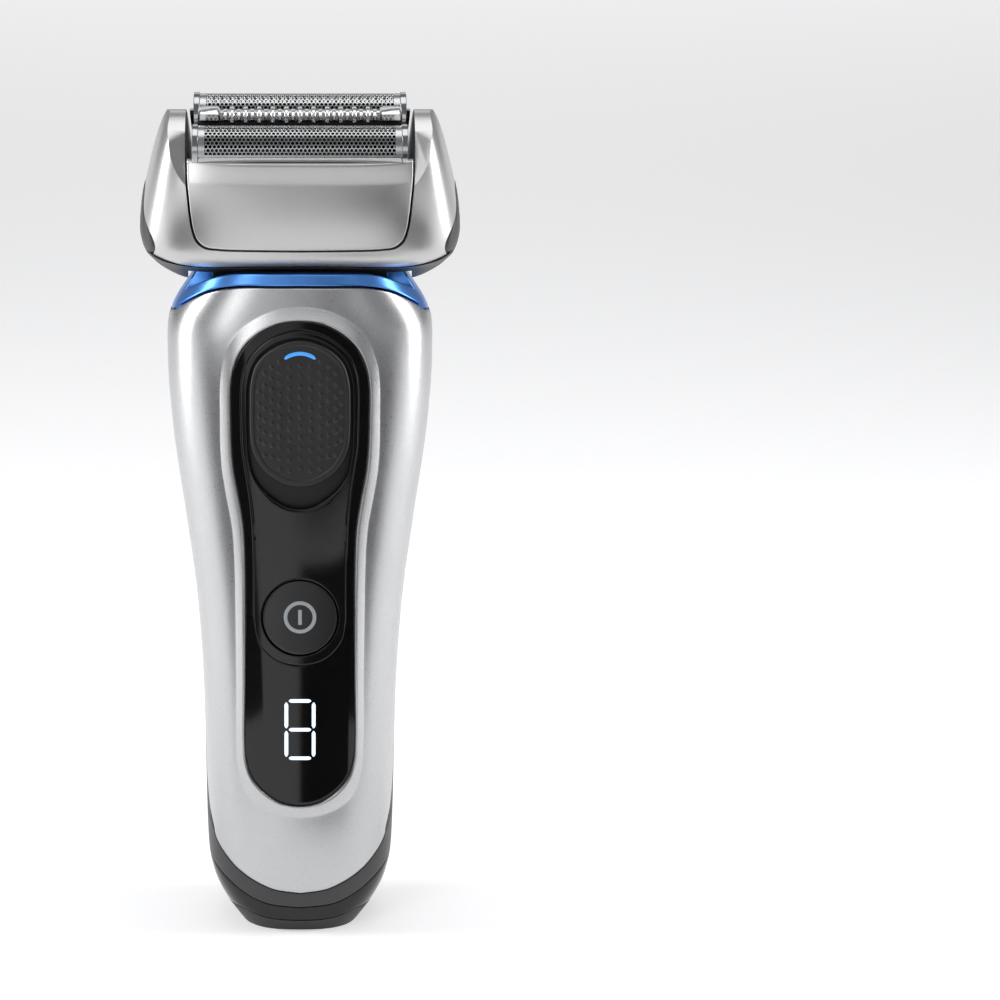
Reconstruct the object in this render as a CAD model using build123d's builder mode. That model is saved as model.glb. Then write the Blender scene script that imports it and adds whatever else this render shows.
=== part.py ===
"""Foil shaver: a tapered handle with a swivelling head, a lift-off cassette with two floating
foils and a middle trimmer, a pop-out long-hair trimmer on the back and a linear drive.

Millimetres. +Z up, the front of the shaver looks along -Y, and the origin is the middle of the
flat foot. The head is built on its own plane, tilted forward about the swivel axis.
"""
import math
import os

from build123d import *

os.makedirs("parts", exist_ok=True)

# ---------------------------------------------------------------- driving dimensions
WALL = 1.6                 # shell wall
BODY_N = 2.7               # roundness of the handle's section
HEAD_N = 4.0               # roundness of the head's section
BODY_YC = 1.0              # depth of the handle's widest line
PIVOT = (0.0, 1.0, 136.0)  # swivel axis, along X
TILT = 17.0                # forward tilt of the head as stored, degrees
PIN_R = 1.5                # swivel pins
PIN_GAP = 0.05             # running clearance of the swivel pins
FOIL_R = 4.5               # outer radius of each foil
FOIL_Y = 6.8               # foil centre lines from the head's middle
FOIL_H = 28.7              # foil centre height above the swivel axis
FLOAT = 2.0                # how far each foil sinks
STROKE = 1.2               # drive amplitude each way
PAD_TRAVEL = 3.6           # lock switch
BTN_R = 7.35               # power button
BTN_Z = 68.3
HINGE_Y, HINGE_Z = 13.0, 89.0   # long-hair trimmer hinge, along X
KNUCKLE_R = 4.7

# height, half width, front depth, rear depth of the handle
BODY = [
    (0.0, 12.0, 10.9, 9.8), (2.5, 13.85, 11.85, 11.3), (6.0, 16.1, 12.9, 12.8),
    (10.0, 17.85, 13.6, 13.9), (15.0, 18.7, 14.1, 14.7), (24.0, 19.0, 14.6, 15.3),
    (45.0, 19.3, 15.0, 16.0), (66.0, 20.4, 15.15, 16.5), (86.0, 22.8, 15.6, 17.3),
    (104.0, 25.2, 16.1, 17.8), (117.0, 26.1, 16.3, 17.35), (124.5, 26.15, 16.1, 16.45),
    (129.0, 24.7, 15.87, 15.65), (134.0, 21.3, 15.57, 14.85), (140.6, 18.4, 15.2, 14.2),
]
# height above the swivel axis, half width, half depth of the head
HEAD = [
    (-1.0, 24.0, 5.0), (1.0, 26.9, 6.4), (3.1, 28.6, 8.6), (5.2, 29.6, 11.6),
    (7.0, 30.35, 14.3), (8.6, 30.75, 15.65), (11.0, 31.0, 16.1), (15.0, 30.4, 16.15),
    (20.0, 29.3, 15.65), (25.0, 28.1, 14.55), (29.0, 26.9, 12.9), (32.0, 25.5, 10.4),
    (34.2, 23.8, 6.4),
]
# edges drawn on the front of the handle, half outlines (x, z)
SILVER_EDGE = [(0, 8.85), (4.76, 9.52), (8.71, 11.14), (12.56, 13.6), (15.11, 16.14),
               (16.95, 18.71), (17.9, 21.5), (19.5, 25.0), (23, 29)]
BAND_EDGE = [(0, 5.5), (5.89, 6.08), (8.73, 6.98), (11.78, 8.61), (14.11, 10.31),
             (16.5, 12.2), (19.0, 14.4), (23, 18)]
PLATE_EDGE = [(0, 2.29), (4.78, 2.48), (8.76, 3.24), (10.8, 4.0), (13.0, 5.0), (18, 7.4), (23, 9.5)]
ARCH_SHELL = [(0, 135.11), (8.0, 135.0), (11.55, 134.81), (14.2, 134.4), (16.2, 133.89),
              (18.2, 133.1), (20.2, 131.95), (22.5, 130.3), (25.2, 127.8), (30, 123)]
ARCH_RIM = [(0, 137.5), (8.0, 137.35), (11.5, 137.16), (13.7, 136.86), (15.7, 136.3),
            (17.7, 135.4), (19.8, 134.1), (22.1, 132.35), (25.2, 129.6), (30, 125)]
ARCH_SHELL_REAR = [(0, 131.6), (8.0, 131.4), (14, 130.8), (19, 129.5), (22.5, 128.6),
                   (25.2, 127.2), (30, 124)]
ARCH_RIM_REAR = [(0, 133.9), (8.0, 133.7), (14, 133.1), (19, 131.8), (22.5, 130.9),
                 (25.2, 129.4), (30, 126)]
FASCIA = [(0, 128.4), (3.8, 127.98), (6.83, 126.7), (9.69, 124.5), (11.6, 121.9),
          (12.87, 118.5), (13.37, 115), (13.38, 108.6), (13.25, 102.6), (12.89, 98.15),
          (12.14, 93.9), (11.45, 89.8), (11.0, 86), (10.75, 79), (10.74, 67.8),
          (10.85, 55), (11.0, 42), (10.75, 37.8), (9.69, 34.3), (7.23, 31.24),
          (3.8, 29.0), (0, 28.29)]
PANEL = [(0, 126.5), (3.78, 125.75), (6.83, 124.1), (9.7, 121.1), (11.0, 117.8),
         (11.36, 114.5), (11.38, 108.7), (11.2, 103), (10.5, 98.2), (9.66, 92.5),
         (9.2, 86.5), (9.02, 78.6), (9.05, 71), (9.0, 66.8), (8.3, 63.2), (5.6, 60.0),
         (2.9, 58.75), (0, 58.37)]
RECESS = [(0, 125.25), (3.78, 124.5), (6.84, 122.7), (8.94, 120.1), (10.15, 116.1),
          (10.34, 112), (10.34, 106), (10.1, 101.5), (9.3, 97.6), (7.6, 94.7), (5, 92.4),
          (2.5, 91.0), (0, 90.6)]
PAD = [(0, 124.75), (3.1, 124.15), (6.1, 122.5), (8.5, 119.8), (9.6, 115.9), (9.75, 112),
       (9.75, 107.5), (9.45, 103.6), (8.5, 100.9), (6.9, 98.5), (4.8, 96.9), (2.5, 95.8),
       (0, 95.46)]
HEAD_SPLIT = [(0, 7.2), (12, 6.8), (20, 6.0), (24, 6.5), (27, 7.4), (29.5, 8.3), (34, 9.6)]
CASSETTE = [(0, 11.75), (8.6, 11.82), (15.3, 11.95), (18.0, 12.3), (19.5, 13.6),
            (20.25, 15.6), (20.7, 18.2), (21.05, 21.5), (21.35, 25), (21.45, 28.4)]


# ---------------------------------------------------------------- helpers for outlines
def ring_points(a, front, rear, yc, n, count=20):
    """Points round a superellipse whose front and rear depths differ."""
    out = []
    for i in range(count):
        t = 2 * math.pi * i / count
        c, s = math.cos(t), math.sin(t)
        x = a * math.copysign(abs(c) ** (2 / n), c)
        reach = (rear - yc) if s > 0 else (front + yc)
        out.append((x, yc + reach * math.copysign(abs(s) ** (2 / n), s)))
    return out


def at(table, z, col):
    """The table's column at a height, by monotone cubic interpolation."""
    heights, values = [row[0] for row in table], [row[col] for row in table]
    if z <= heights[0]:
        return values[0]
    if z >= heights[-1]:
        return values[-1]
    rise = [(v1 - v0) / (z1 - z0) for z0, z1, v0, v1 in
            zip(heights, heights[1:], values, values[1:])]
    slope = [rise[0]]
    slope += [0.0 if p * q <= 0 else 2 / (1 / p + 1 / q) for p, q in zip(rise, rise[1:])]
    slope += [rise[-1]]
    i = next(k for k in range(len(rise)) if z <= heights[k + 1])
    h = heights[i + 1] - heights[i]
    t = (z - heights[i]) / h
    return ((2 * t**3 - 3 * t**2 + 1) * values[i] + (t**3 - 2 * t**2 + t) * h * slope[i]
            + (3 * t**2 - 2 * t**3) * values[i + 1] + (t**3 - t**2) * h * slope[i + 1])


def both(points):
    """A half outline and its mirror image, as one closed run of points."""
    right = [p for p in points]
    left = [(-x, z) for x, z in reversed(points) if abs(x) > 1e-9]
    return right + left


HP = Plane(origin=PIVOT, x_dir=(1, 0, 0),
           z_dir=(0, -math.sin(math.radians(TILT)), math.cos(math.radians(TILT))))


def head_xy(h):
    return HP.offset(h)


def head_xz(y=0.0):
    """Drawing plane x right, z up, seen from the front of the head."""
    return Plane(origin=HP.from_local_coords((0, y, 0)), x_dir=HP.x_dir, z_dir=-HP.y_dir)


def head_yz(x=0.0):
    """Drawing plane y right, z up, seen along -X."""
    return Plane(origin=HP.from_local_coords((x, 0, 0)), x_dir=HP.y_dir, z_dir=HP.x_dir)


def front_xz(y=0.0):
    return Plane(origin=(0, y, 0), x_dir=(1, 0, 0), z_dir=(0, -1, 0))


def side_yz(x=0.0):
    return Plane(origin=(x, 0, 0), x_dir=(0, 1, 0), z_dir=(1, 0, 0))


def save(builder, name):
    builder.part.label = name
    export_step(builder.part, f"parts/{name}.step")


# ---------------------------------------------------------------- master forms of the handle
BODY_LEVELS = (0, 2, 4.5, 7.5, 11, 15.5, 21, 28, 36, 45, 55, 66, 77, 88, 98, 107, 115,
               121.5, 126.5, 131, 135.5, 138, 140.6)
HEAD_LEVELS = (-1, 0.4, 1.8, 3.2, 4.6, 6, 7.4, 9, 11, 13.5, 17, 21, 25, 28.5, 31, 33, 34.2)


def body_form(grow, z_low=0.0, z_high=140.6):
    levels = [z_low] + [z for z in BODY_LEVELS if z_low + 0.9 < z < z_high - 0.9] + [z_high]
    with BuildPart() as form:
        for z in levels:
            a, f, r = (at(BODY, z, c) + grow for c in (1, 2, 3))
            with BuildSketch(Plane.XY.offset(z)):
                with BuildLine():
                    Spline(*ring_points(a, f, r, BODY_YC, BODY_N), periodic=True)
                make_face()
        loft()
    return form


def head_form(grow, h_low=-1.0, h_high=34.2):
    levels = [h_low] + [h for h in HEAD_LEVELS if h_low + 0.7 < h < h_high - 0.7] + [h_high]
    with BuildPart() as form:
        for h in levels:
            a, b = (at(HEAD, h, c) + grow for c in (1, 2))
            with BuildSketch(head_xy(h)):
                with BuildLine():
                    Spline(*ring_points(a, b, b, 0.0, HEAD_N), periodic=True)
                make_face()
        loft()
    return form


def below(half, floor, plane, depth=60.0, both_ways=True):
    """A prism of everything below a symmetric edge line drawn on the plane."""
    pts = [(-x, z) for x, z in reversed(half) if x > 0] + list(half)
    with BuildPart() as prism:
        with BuildSketch(plane):
            with BuildLine():
                Spline(*pts)
                Polyline(pts[-1], (pts[-1][0], floor), (pts[0][0], floor), pts[0])
            make_face()
        extrude(amount=depth, both=both_ways)
    return prism


def grown(points, amount):
    """A closed symmetric outline moved outwards by the amount."""
    ring = both(points)
    area = sum(x0 * z1 - x1 * z0 for (x0, z0), (x1, z1) in zip(ring, ring[1:] + ring[:1]))
    turn = 1 if area > 0 else -1
    out = []
    for (xa, za), (x, z), (xb, zb) in zip(ring[-1:] + ring[:-1], ring, ring[1:] + ring[:1]):
        dx, dz = xb - xa, zb - za
        size = math.hypot(dx, dz)
        out.append((x + turn * amount * dz / size, z - turn * amount * dx / size))
    return out


def outline(points, amount=0.0, hole=None, hole_grow=0.0, low=None, high=None):
    """A prism through the handle's front of a closed outline, less an inner outline and
    less what lies under low or over high."""
    with BuildPart() as prism:
        with BuildSketch(front_xz(-6)):
            with BuildLine():
                Spline(*grown(points, amount), periodic=True)
            make_face()
            if hole:
                with BuildSketch(front_xz(-6), mode=Mode.PRIVATE) as inner:
                    with BuildLine():
                        Spline(*grown(hole, hole_grow), periodic=True)
                    make_face()
                add(inner.sketch_local, mode=Mode.SUBTRACT)
            if low is not None:
                with Locations((0, low - 50)):
                    Rectangle(100, 100, mode=Mode.SUBTRACT)
            if high is not None:
                with Locations((0, high + 50)):
                    Rectangle(100, 100, mode=Mode.SUBTRACT)
        extrude(amount=20)
    return prism


def lifted(half, amount):
    return [(x, z + amount) for x, z in half]


body_out = body_form(0.0)
body_in = body_form(-WALL, 4.2)
body_in_collar = body_form(-2.4, 124.0)
body_p02 = body_form(0.25, 26.0, 131.0)
body_m07 = body_form(-0.75, 26.0, 131.0)
body_m10 = body_form(-1.05, 26.0, 131.0)
body_p09 = body_form(0.9, 77.0, 131.0)
body_p07 = body_form(0.7, 14.0, 122.0)

GAP = 0.12                 # joint gap between neighbouring shells
silver_low = below(lifted(SILVER_EDGE, GAP), -20, front_xz())
band_low = below(lifted(BAND_EDGE, GAP), -20, front_xz())
plate_low = below(lifted(PLATE_EDGE, GAP), -20, front_xz())
silver_under = below(SILVER_EDGE, -20, front_xz())
band_under = below(BAND_EDGE, -20, front_xz())
plate_under = below(PLATE_EDGE, -20, front_xz())
rear_plane = Plane(origin=(0, 1.0, 0), x_dir=(-1, 0, 0), z_dir=(0, 1, 0))
arch_shell = below(lifted(ARCH_SHELL, -0.35), -20, front_xz(1.0), 40, False)   # front half
arch_shell_rear = below(lifted(ARCH_SHELL_REAR, -0.35), -20, rear_plane, 40, False)
arch_step = below(ARCH_SHELL, -20, front_xz(1.0), 40, False)
arch_step_rear = below(ARCH_SHELL_REAR, -20, rear_plane, 40, False)
arch_rim = below(ARCH_RIM, 60, front_xz(1.0), 40, False)
arch_rim_rear = below(ARCH_RIM_REAR, 60, rear_plane, 40, False)

# side line between the front and rear shells, seen from the side (y, z)
def front_part(shift):
    line = [(-4.2, -5), (-6.4, 12), (-7.6, 20), (-5.15, 25.5), (-3.1, 33), (-2.0, 48),
            (-1.5, 75), (-1.2, 105), (-0.6, 127), (-0.4, 150)]
    line = [(y + shift, z) for y, z in line]
    with BuildPart() as zone:
        with BuildSketch(side_yz()):
            with BuildLine():
                Spline(*line)
                Polyline(line[-1], (-45, 150), (-45, -5), line[0])
            make_face()
        extrude(amount=45, both=True)
    return zone


front_zone = front_part(0.0)
front_zone_wide = front_part(GAP)

# ---------------------------------------------------------------- handle: shells
with BuildPart() as hollow:
    add(body_out.part)
    add(body_in.part, mode=Mode.SUBTRACT)
with BuildPart() as arch_zone:
    add(arch_shell.part)
    add(arch_shell_rear.part)
with BuildPart() as middle:
    add(hollow.part)
    add(silver_low.part, mode=Mode.SUBTRACT)
    add(arch_zone.part, mode=Mode.INTERSECT)

with BuildPart() as front_shell:
    add(middle.part)
    add(front_zone.part, mode=Mode.INTERSECT)
    add(outline(FASCIA, 0.1).part, mode=Mode.SUBTRACT)
save(front_shell, "front_shell")

# trimmer bay shape: a knuckle at the bottom and a straight-sided well above it
with BuildPart() as bay_cut:
    with BuildSketch(side_yz(-15.6)):
        with Locations((HINGE_Y, HINGE_Z)):
            Circle(KNUCKLE_R + 0.45)
        with Locations(((8.1 + 24) / 2, (HINGE_Z + 119.6) / 2)):
            Rectangle(24 - 8.1, 119.6 - HINGE_Z)
    extrude(amount=31.2)

release_xz = Plane(origin=(0, 11.0, 0), x_dir=(-1, 0, 0), z_dir=(0, 1, 0))
with BuildPart() as release_window:
    with BuildSketch(release_xz):
        with Locations((0, 76.6)):
            RectangleRounded(11.6, 9.6, 2.4)
    extrude(amount=12)
contact_spots = [(-4.6, 24.0), (4.6, 24.0)]
with BuildPart() as contact_holes:
    with BuildSketch(release_xz):
        with Locations(*contact_spots):
            Circle(2.2)
    extrude(amount=12)

with BuildPart() as back_shell:
    add(middle.part)
    add(bay_cut.part, mode=Mode.SUBTRACT)
    add(front_zone_wide.part, mode=Mode.SUBTRACT)
    add(release_window.part, mode=Mode.SUBTRACT)
    add(contact_holes.part, mode=Mode.SUBTRACT)
    with BuildSketch(side_yz(-17.7)):
        with Locations((HINGE_Y, HINGE_Z)):
            Circle(1.03)
    extrude(amount=35.4, mode=Mode.SUBTRACT)
save(back_shell, "back_shell")

# rubber grip lying on the back
with BuildPart() as back_grip:
    add(body_p07.part)
    add(body_form(0.15, 14.0, 122.0).part, mode=Mode.SUBTRACT)
    with BuildSketch(release_xz):
        with BuildLine():
            Spline((0, 30.5), (7, 31.4), (11.6, 35.5), (13.2, 44), (13.9, 60), (15.4, 76),
                   (15.9, 79.2), (14.6, 81.9), (8, 82.2), (0, 82.2), (-8, 82.2), (-14.6, 81.9),
                   (-15.9, 79.2), (-15.4, 76), (-13.9, 60), (-13.2, 44), (-11.6, 35.5),
                   (-7, 31.4), periodic=True)
        make_face()
        with Locations((0, 76.6)):
            RectangleRounded(12.2, 10.2, 2.6, mode=Mode.SUBTRACT)
    extrude(amount=12, mode=Mode.INTERSECT)
save(back_grip, "back_grip")

# dark band, gloss cap and foot plate at the bottom
with BuildPart() as lower_band:
    add(hollow.part)
    add(silver_under.part, mode=Mode.INTERSECT)
    add(band_low.part, mode=Mode.SUBTRACT)
save(lower_band, "lower_band")

SOCKET_W, SOCKET_D, SOCKET_H = 11.6, 6.6, 9.5
with BuildPart() as base_cap:
    add(hollow.part)
    add(band_under.part, mode=Mode.INTERSECT)
    add(plate_low.part, mode=Mode.SUBTRACT)
    with BuildSketch(Plane.XY):
        RectangleRounded(SOCKET_W + 3.3, SOCKET_D + 3.3, 4.6)
    extrude(amount=14, mode=Mode.SUBTRACT)
    with BuildSketch(Plane.XY.offset(1.6)):
        with Locations((0, -7.6), (0, 7.6)):
            Circle(1.05)
    extrude(amount=8, mode=Mode.SUBTRACT)
save(base_cap, "base_cap")

with BuildPart() as base_plate:
    add(body_out.part)
    add(plate_under.part, mode=Mode.INTERSECT)
    with BuildSketch(Plane.XY):
        RectangleRounded(SOCKET_W + 3.3, SOCKET_D + 3.3, 4.6)
    extrude(amount=14, mode=Mode.SUBTRACT)
    with BuildSketch(Plane.XY.offset(4.1)):
        Rectangle(60, 60)
    extrude(amount=20, mode=Mode.SUBTRACT)
    with BuildSketch(Plane.XY.offset(0.0)):
        with Locations((0, -7.6), (0, 7.6)):
            Circle(1.9)
    extrude(amount=1.5, mode=Mode.SUBTRACT)
    with BuildSketch(Plane.XY.offset(0.0)):
        with Locations((0, -7.6), (0, 7.6)):
            Circle(1.1)
    extrude(amount=8, mode=Mode.SUBTRACT)
save(base_plate, "base_plate")

with BuildPart() as power_socket:
    with BuildSketch(Plane.XY.offset(0.0)):
        RectangleRounded(SOCKET_W + 3.1, SOCKET_D + 3.1, 4.5)
    extrude(amount=SOCKET_H + 2.0)
    with BuildSketch(Plane.XY.offset(0.0)):
        RectangleRounded(SOCKET_W, SOCKET_D, 3.2)
    extrude(amount=SOCKET_H, mode=Mode.SUBTRACT)
    with BuildSketch(Plane.XY.offset(SOCKET_H)):
        with Locations((-2.7, 0), (2.7, 0)):
            Circle(0.8)
    extrude(amount=3, mode=Mode.SUBTRACT)
save(power_socket, "power_socket")

with BuildPart() as socket_pins:
    with BuildSketch(Plane.XY.offset(5.4)):
        with Locations((-2.7, 0), (2.7, 0)):
            Circle(0.8)
    extrude(amount=9.2)
    fillet(socket_pins.faces().sort_by(Axis.Z)[:2].edges(), 0.3)
save(socket_pins, "socket_pins")

with BuildPart() as charge_contacts:
    with BuildSketch(Plane(origin=(0, 12.6, 0), x_dir=(-1, 0, 0), z_dir=(0, 1, 0))):
        with Locations(*contact_spots):
            Circle(2.1)
    extrude(amount=2.3)
save(charge_contacts, "charge_contacts")

with BuildPart() as foot_screws:
    with BuildSketch(Plane.XY.offset(0.4)):
        with Locations((0, -7.6), (0, 7.6)):
            Circle(1.8)
    extrude(amount=1.1)
    with BuildSketch(Plane.XY.offset(1.5)):
        with Locations((0, -7.6), (0, 7.6)):
            Circle(1.0)
    extrude(amount=6)
    with BuildSketch(Plane.XY.offset(0.4)):
        with Locations((0, -7.6), (0, 7.6)):
            Rectangle(2.0, 0.5)
            Rectangle(0.5, 2.0)
    extrude(amount=0.6, mode=Mode.SUBTRACT)
save(foot_screws, "foot_screws")

# ---------------------------------------------------------------- collar
with BuildPart() as collar_zone:
    add(arch_rim.part)
    add(arch_rim_rear.part)
with BuildPart() as under_collar:
    add(arch_step.part)
    add(arch_step_rear.part)
# cheeks that carry the swivel: round at the axis, spreading downwards
with BuildPart() as cheek_zone:
    with BuildSketch(side_yz()):
        with Locations((PIVOT[1], PIVOT[2])):
            Circle(4.4)
        with BuildLine():
            Polyline((PIVOT[1] - 4.4, PIVOT[2]), (PIVOT[1] + 4.4, PIVOT[2]),
                     (PIVOT[1] + 4.4, 132.4), (PIVOT[1] + 10, 126), (PIVOT[1] - 10, 126),
                     (PIVOT[1] - 4.4, 132.4), (PIVOT[1] - 4.4, PIVOT[2]))
        make_face()
    extrude(amount=40, both=True)
with BuildPart() as collar_keep:
    add(collar_zone.part)
    add(cheek_zone.part)
with BuildPart() as collar:
    add(body_out.part)
    add(body_in_collar.part, mode=Mode.SUBTRACT)
    with BuildSketch(Plane.XY.offset(100)):
        Rectangle(80, 80)
    extrude(amount=26, mode=Mode.SUBTRACT)
    add(under_collar.part, mode=Mode.SUBTRACT)
    add(collar_keep.part, mode=Mode.INTERSECT)
    with BuildSketch(Plane.XY.offset(129.0)):      # flat inner faces beside the head
        with Locations((0, PIVOT[1])):
            Rectangle(34.4, 22)
    extrude(amount=20, mode=Mode.SUBTRACT)
    with BuildSketch(side_yz(-19.7)):
        with Locations((PIVOT[1], PIVOT[2])):
            Circle(PIN_R + PIN_GAP)
    extrude(amount=39.4, mode=Mode.SUBTRACT)
save(collar, "collar")

with BuildPart() as top_seal:
    add(body_form(-1.75, 124.2, 127.0).part)
    with BuildSketch(Plane.XY.offset(120)):
        with Locations((0, 1)):
            RectangleRounded(15, 8, 3.5)
    extrude(amount=20, mode=Mode.SUBTRACT)
save(top_seal, "top_seal")

# ---------------------------------------------------------------- fascia, lock switch, power button
with BuildPart() as fascia_rim:
    add(hollow.part)
    add(outline(FASCIA, 0.0, PANEL, 0.1, low=68.1).part, mode=Mode.INTERSECT)
save(fascia_rim, "fascia_rim")

with BuildPart() as display_window:
    add(hollow.part)
    add(outline(FASCIA, 0.0, PANEL, 0.1, high=68.0).part, mode=Mode.INTERSECT)
save(display_window, "display_window")

SLOT_Z0, SLOT_Z1 = 101.6, 113.4
with BuildPart() as recess_tool:
    add(outline(RECESS).part)
    add(body_m10.part, mode=Mode.SUBTRACT)
with BuildPart() as control_panel:
    add(body_p02.part)
    add(body_in.part, mode=Mode.SUBTRACT)
    add(outline(PANEL).part, mode=Mode.INTERSECT)
    add(recess_tool.part, mode=Mode.SUBTRACT)
    with BuildSketch(front_xz(-6)):
        with Locations((0, BTN_Z)):
            Circle(BTN_R + 0.4)
        with Locations((0, (SLOT_Z0 + SLOT_Z1) / 2)):
            RectangleRounded(4.4, SLOT_Z1 - SLOT_Z0, 2.0)
    extrude(amount=20, mode=Mode.SUBTRACT)
save(control_panel, "control_panel")

with BuildPart() as lock_pad:
    add(body_p09.part)
    add(body_m07.part, mode=Mode.SUBTRACT)
    add(outline(PAD).part, mode=Mode.INTERSECT)
save(lock_pad, "lock_pad")

with BuildPart() as lock_slider:
    with BuildSketch(front_xz(-15.35)):
        with Locations((0, 109.4)):
            RectangleRounded(3.6, 6.6, 1.6)
    extrude(amount=-5.9)
    with BuildSketch(front_xz(-13.2)):
        with Locations((0, 109.4)):
            RectangleRounded(13, 12, 1.5)
    extrude(amount=-1.4)
    with BuildSketch(front_xz(-11.0)):
        with Locations((0, 114.2)):
            RectangleRounded(5, 16, 1.2)
    extrude(amount=-1.2)
save(lock_slider, "lock_slider")

with BuildPart() as power_button:
    add(body_p02.part)
    add(body_m10.part, mode=Mode.SUBTRACT)
    with BuildSketch(front_xz(-6)):
        with Locations((0, BTN_Z)):
            Circle(BTN_R)
    extrude(amount=20, mode=Mode.INTERSECT)
    with BuildSketch(front_xz(-14.6)):
        with Locations((0, BTN_Z)):
            Circle(2.4)
    extrude(amount=-2.2)
save(power_button, "power_button")

# ---------------------------------------------------------------- inside the handle
with BuildPart() as main_board:
    with BuildSketch(front_xz(-8.4)):
        with Locations((0, 74.5)):
            RectangleRounded(20, 75, 1.5)
        with Locations((0, 109.0)):
            RectangleRounded(6.4, 17, 0.8, mode=Mode.SUBTRACT)
        with Locations((-7, 40), (7, 40), (-7, 92), (7, 92)):
            Circle(1.0, mode=Mode.SUBTRACT)
    extrude(amount=1.2)
save(main_board, "main_board")

with BuildPart() as power_switch:
    with BuildSketch(front_xz(-9.6)):
        with Locations((0, BTN_Z)):
            Rectangle(6.0, 6.0)
    extrude(amount=1.2)
    with BuildSketch(front_xz(-10.8)):
        with Locations((0, BTN_Z)):
            Circle(1.6)
    extrude(amount=0.7)
save(power_switch, "power_switch")

SEG_W, SEG_L, DIG_X, DIG_TOP, DIG_MID, DIG_BOT = 0.95, 5.0, 2.7, 50.7, 44.67, 38.68
with BuildPart() as led_display:
    with BuildSketch(front_xz(-9.6)):
        with Locations((0, DIG_MID)):
            RectangleRounded(9.0, 15.6, 0.6)
    extrude(amount=2.6)
    with BuildSketch(front_xz(-12.2)):
        with Locations((-DIG_X, (DIG_TOP + DIG_MID) / 2), (DIG_X, (DIG_TOP + DIG_MID) / 2),
                       (-DIG_X, (DIG_BOT + DIG_MID) / 2), (DIG_X, (DIG_BOT + DIG_MID) / 2)):
            RectangleRounded(SEG_W, SEG_L, 0.4)
        with Locations((0, DIG_TOP), (0, DIG_MID), (0, DIG_BOT)):
            RectangleRounded(SEG_L - 1.0, SEG_W, 0.4)
    extrude(amount=0.4)
save(led_display, "led_display")

SCREW_SPOTS = [(-7, 40), (7, 40), (-7, 92), (7, 92)]
with BuildPart() as inner_frame:
    with BuildSketch(front_xz(-5.6)):
        with Locations((0, 72.0)):
            RectangleRounded(23, 92, 2)
        with Locations((0, 100.0), (0, 48.0)):
            RectangleRounded(10, 14, 2, mode=Mode.SUBTRACT)
    extrude(amount=1.4)
    for z in (26.6, 81.0):
        with BuildSketch(Plane.XY.offset(z)):
            with Locations((0, 1.4)):
                RectangleRounded(21, 14.2, 2)
        extrude(amount=1.6)
    with BuildSketch(Plane.XY.offset(28.0)):
        with Locations((-9.3, -1.0), (9.3, -1.0)):
            Rectangle(1.6, 9.4)
    extrude(amount=53.2)
    with BuildSketch(front_xz(-7.0)):
        with Locations(*SCREW_SPOTS):
            Circle(1.7)
    extrude(amount=1.3)
    with BuildSketch(front_xz(0)):
        with Locations(*SCREW_SPOTS):
            Circle(0.95)
    extrude(amount=10, mode=Mode.SUBTRACT)
save(inner_frame, "inner_frame")

with BuildPart() as battery_cell:
    with BuildSketch(Plane.XY.offset(29.3)):
        with Locations((0, 3.0)):
            Circle(7.05)
    extrude(amount=49.4)
    fillet(battery_cell.edges().filter_by(GeomType.CIRCLE), 0.8)
    with BuildSketch(Plane.XY.offset(78.7)):
        with Locations((0, 3.0)):
            Circle(2.6)
    extrude(amount=0.9)
save(battery_cell, "battery_cell")

with BuildPart() as battery_contacts:
    for z in (28.4, 79.9):
        with BuildSketch(Plane.XY.offset(z)):
            with Locations((0, 3.0)):
                RectangleRounded(6, 6, 1)
        extrude(amount=0.7)
save(battery_contacts, "battery_contacts")

with BuildPart() as board_screws:
    with BuildSketch(front_xz(-4.6)):
        with Locations(*SCREW_SPOTS):
            Circle(0.9)
    extrude(amount=5.05)
    with BuildSketch(front_xz(-9.65)):
        with Locations(*SCREW_SPOTS):
            Circle(1.5)
    extrude(amount=0.8)
save(board_screws, "board_screws")

# ---------------------------------------------------------------- long-hair trimmer on the back
with BuildPart() as bay_tray:
    with BuildSketch(side_yz(-15.5)):
        with BuildLine():
            Polyline((7.0, 84.0), (7.0, 119.5), (8.0, 119.5), (8.0, 90.4), (8.0, 87.0),
                     (9.6, 85.0), (9.6, 84.0), (7.0, 84.0))
        make_face()
    extrude(amount=31.0)
save(bay_tray, "bay_tray")

flap_in = body_form(-1.8, 80.0, 121.0)
flap_out = body_form(0.55, 80.0, 121.0)
with BuildPart() as flap_shape:
    with BuildSketch(side_yz(-15.1)):
        with Locations((HINGE_Y, HINGE_Z)):
            Circle(KNUCKLE_R)
        with Locations(((HINGE_Y + 24) / 2, (HINGE_Z + 116.9) / 2)):
            Rectangle(24 - HINGE_Y, 116.9 - HINGE_Z)
    extrude(amount=30.2)
with BuildPart() as trimmer_flap:
    add(flap_out.part)
    add(flap_shape.part, mode=Mode.INTERSECT)
    with BuildSketch(side_yz(-13.3)):
        with BuildLine():
            Polyline((11.5, 94.4), (15.0, 94.4), (15.5, 118.0), (11.5, 118.0), (11.5, 94.4))
        make_face()
    extrude(amount=26.6, mode=Mode.SUBTRACT)
    with BuildSketch(side_yz(-20)):
        with Locations((HINGE_Y, HINGE_Z)):
            Circle(1.06)
    extrude(amount=40, mode=Mode.SUBTRACT)
save(trimmer_flap, "trimmer_flap")

with BuildPart() as trimmer_hinge_pin:
    with BuildSketch(side_yz(-17.4)):
        with Locations((HINGE_Y, HINGE_Z)):
            Circle(1.0)
    extrude(amount=34.8)
save(trimmer_hinge_pin, "trimmer_hinge_pin")

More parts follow.
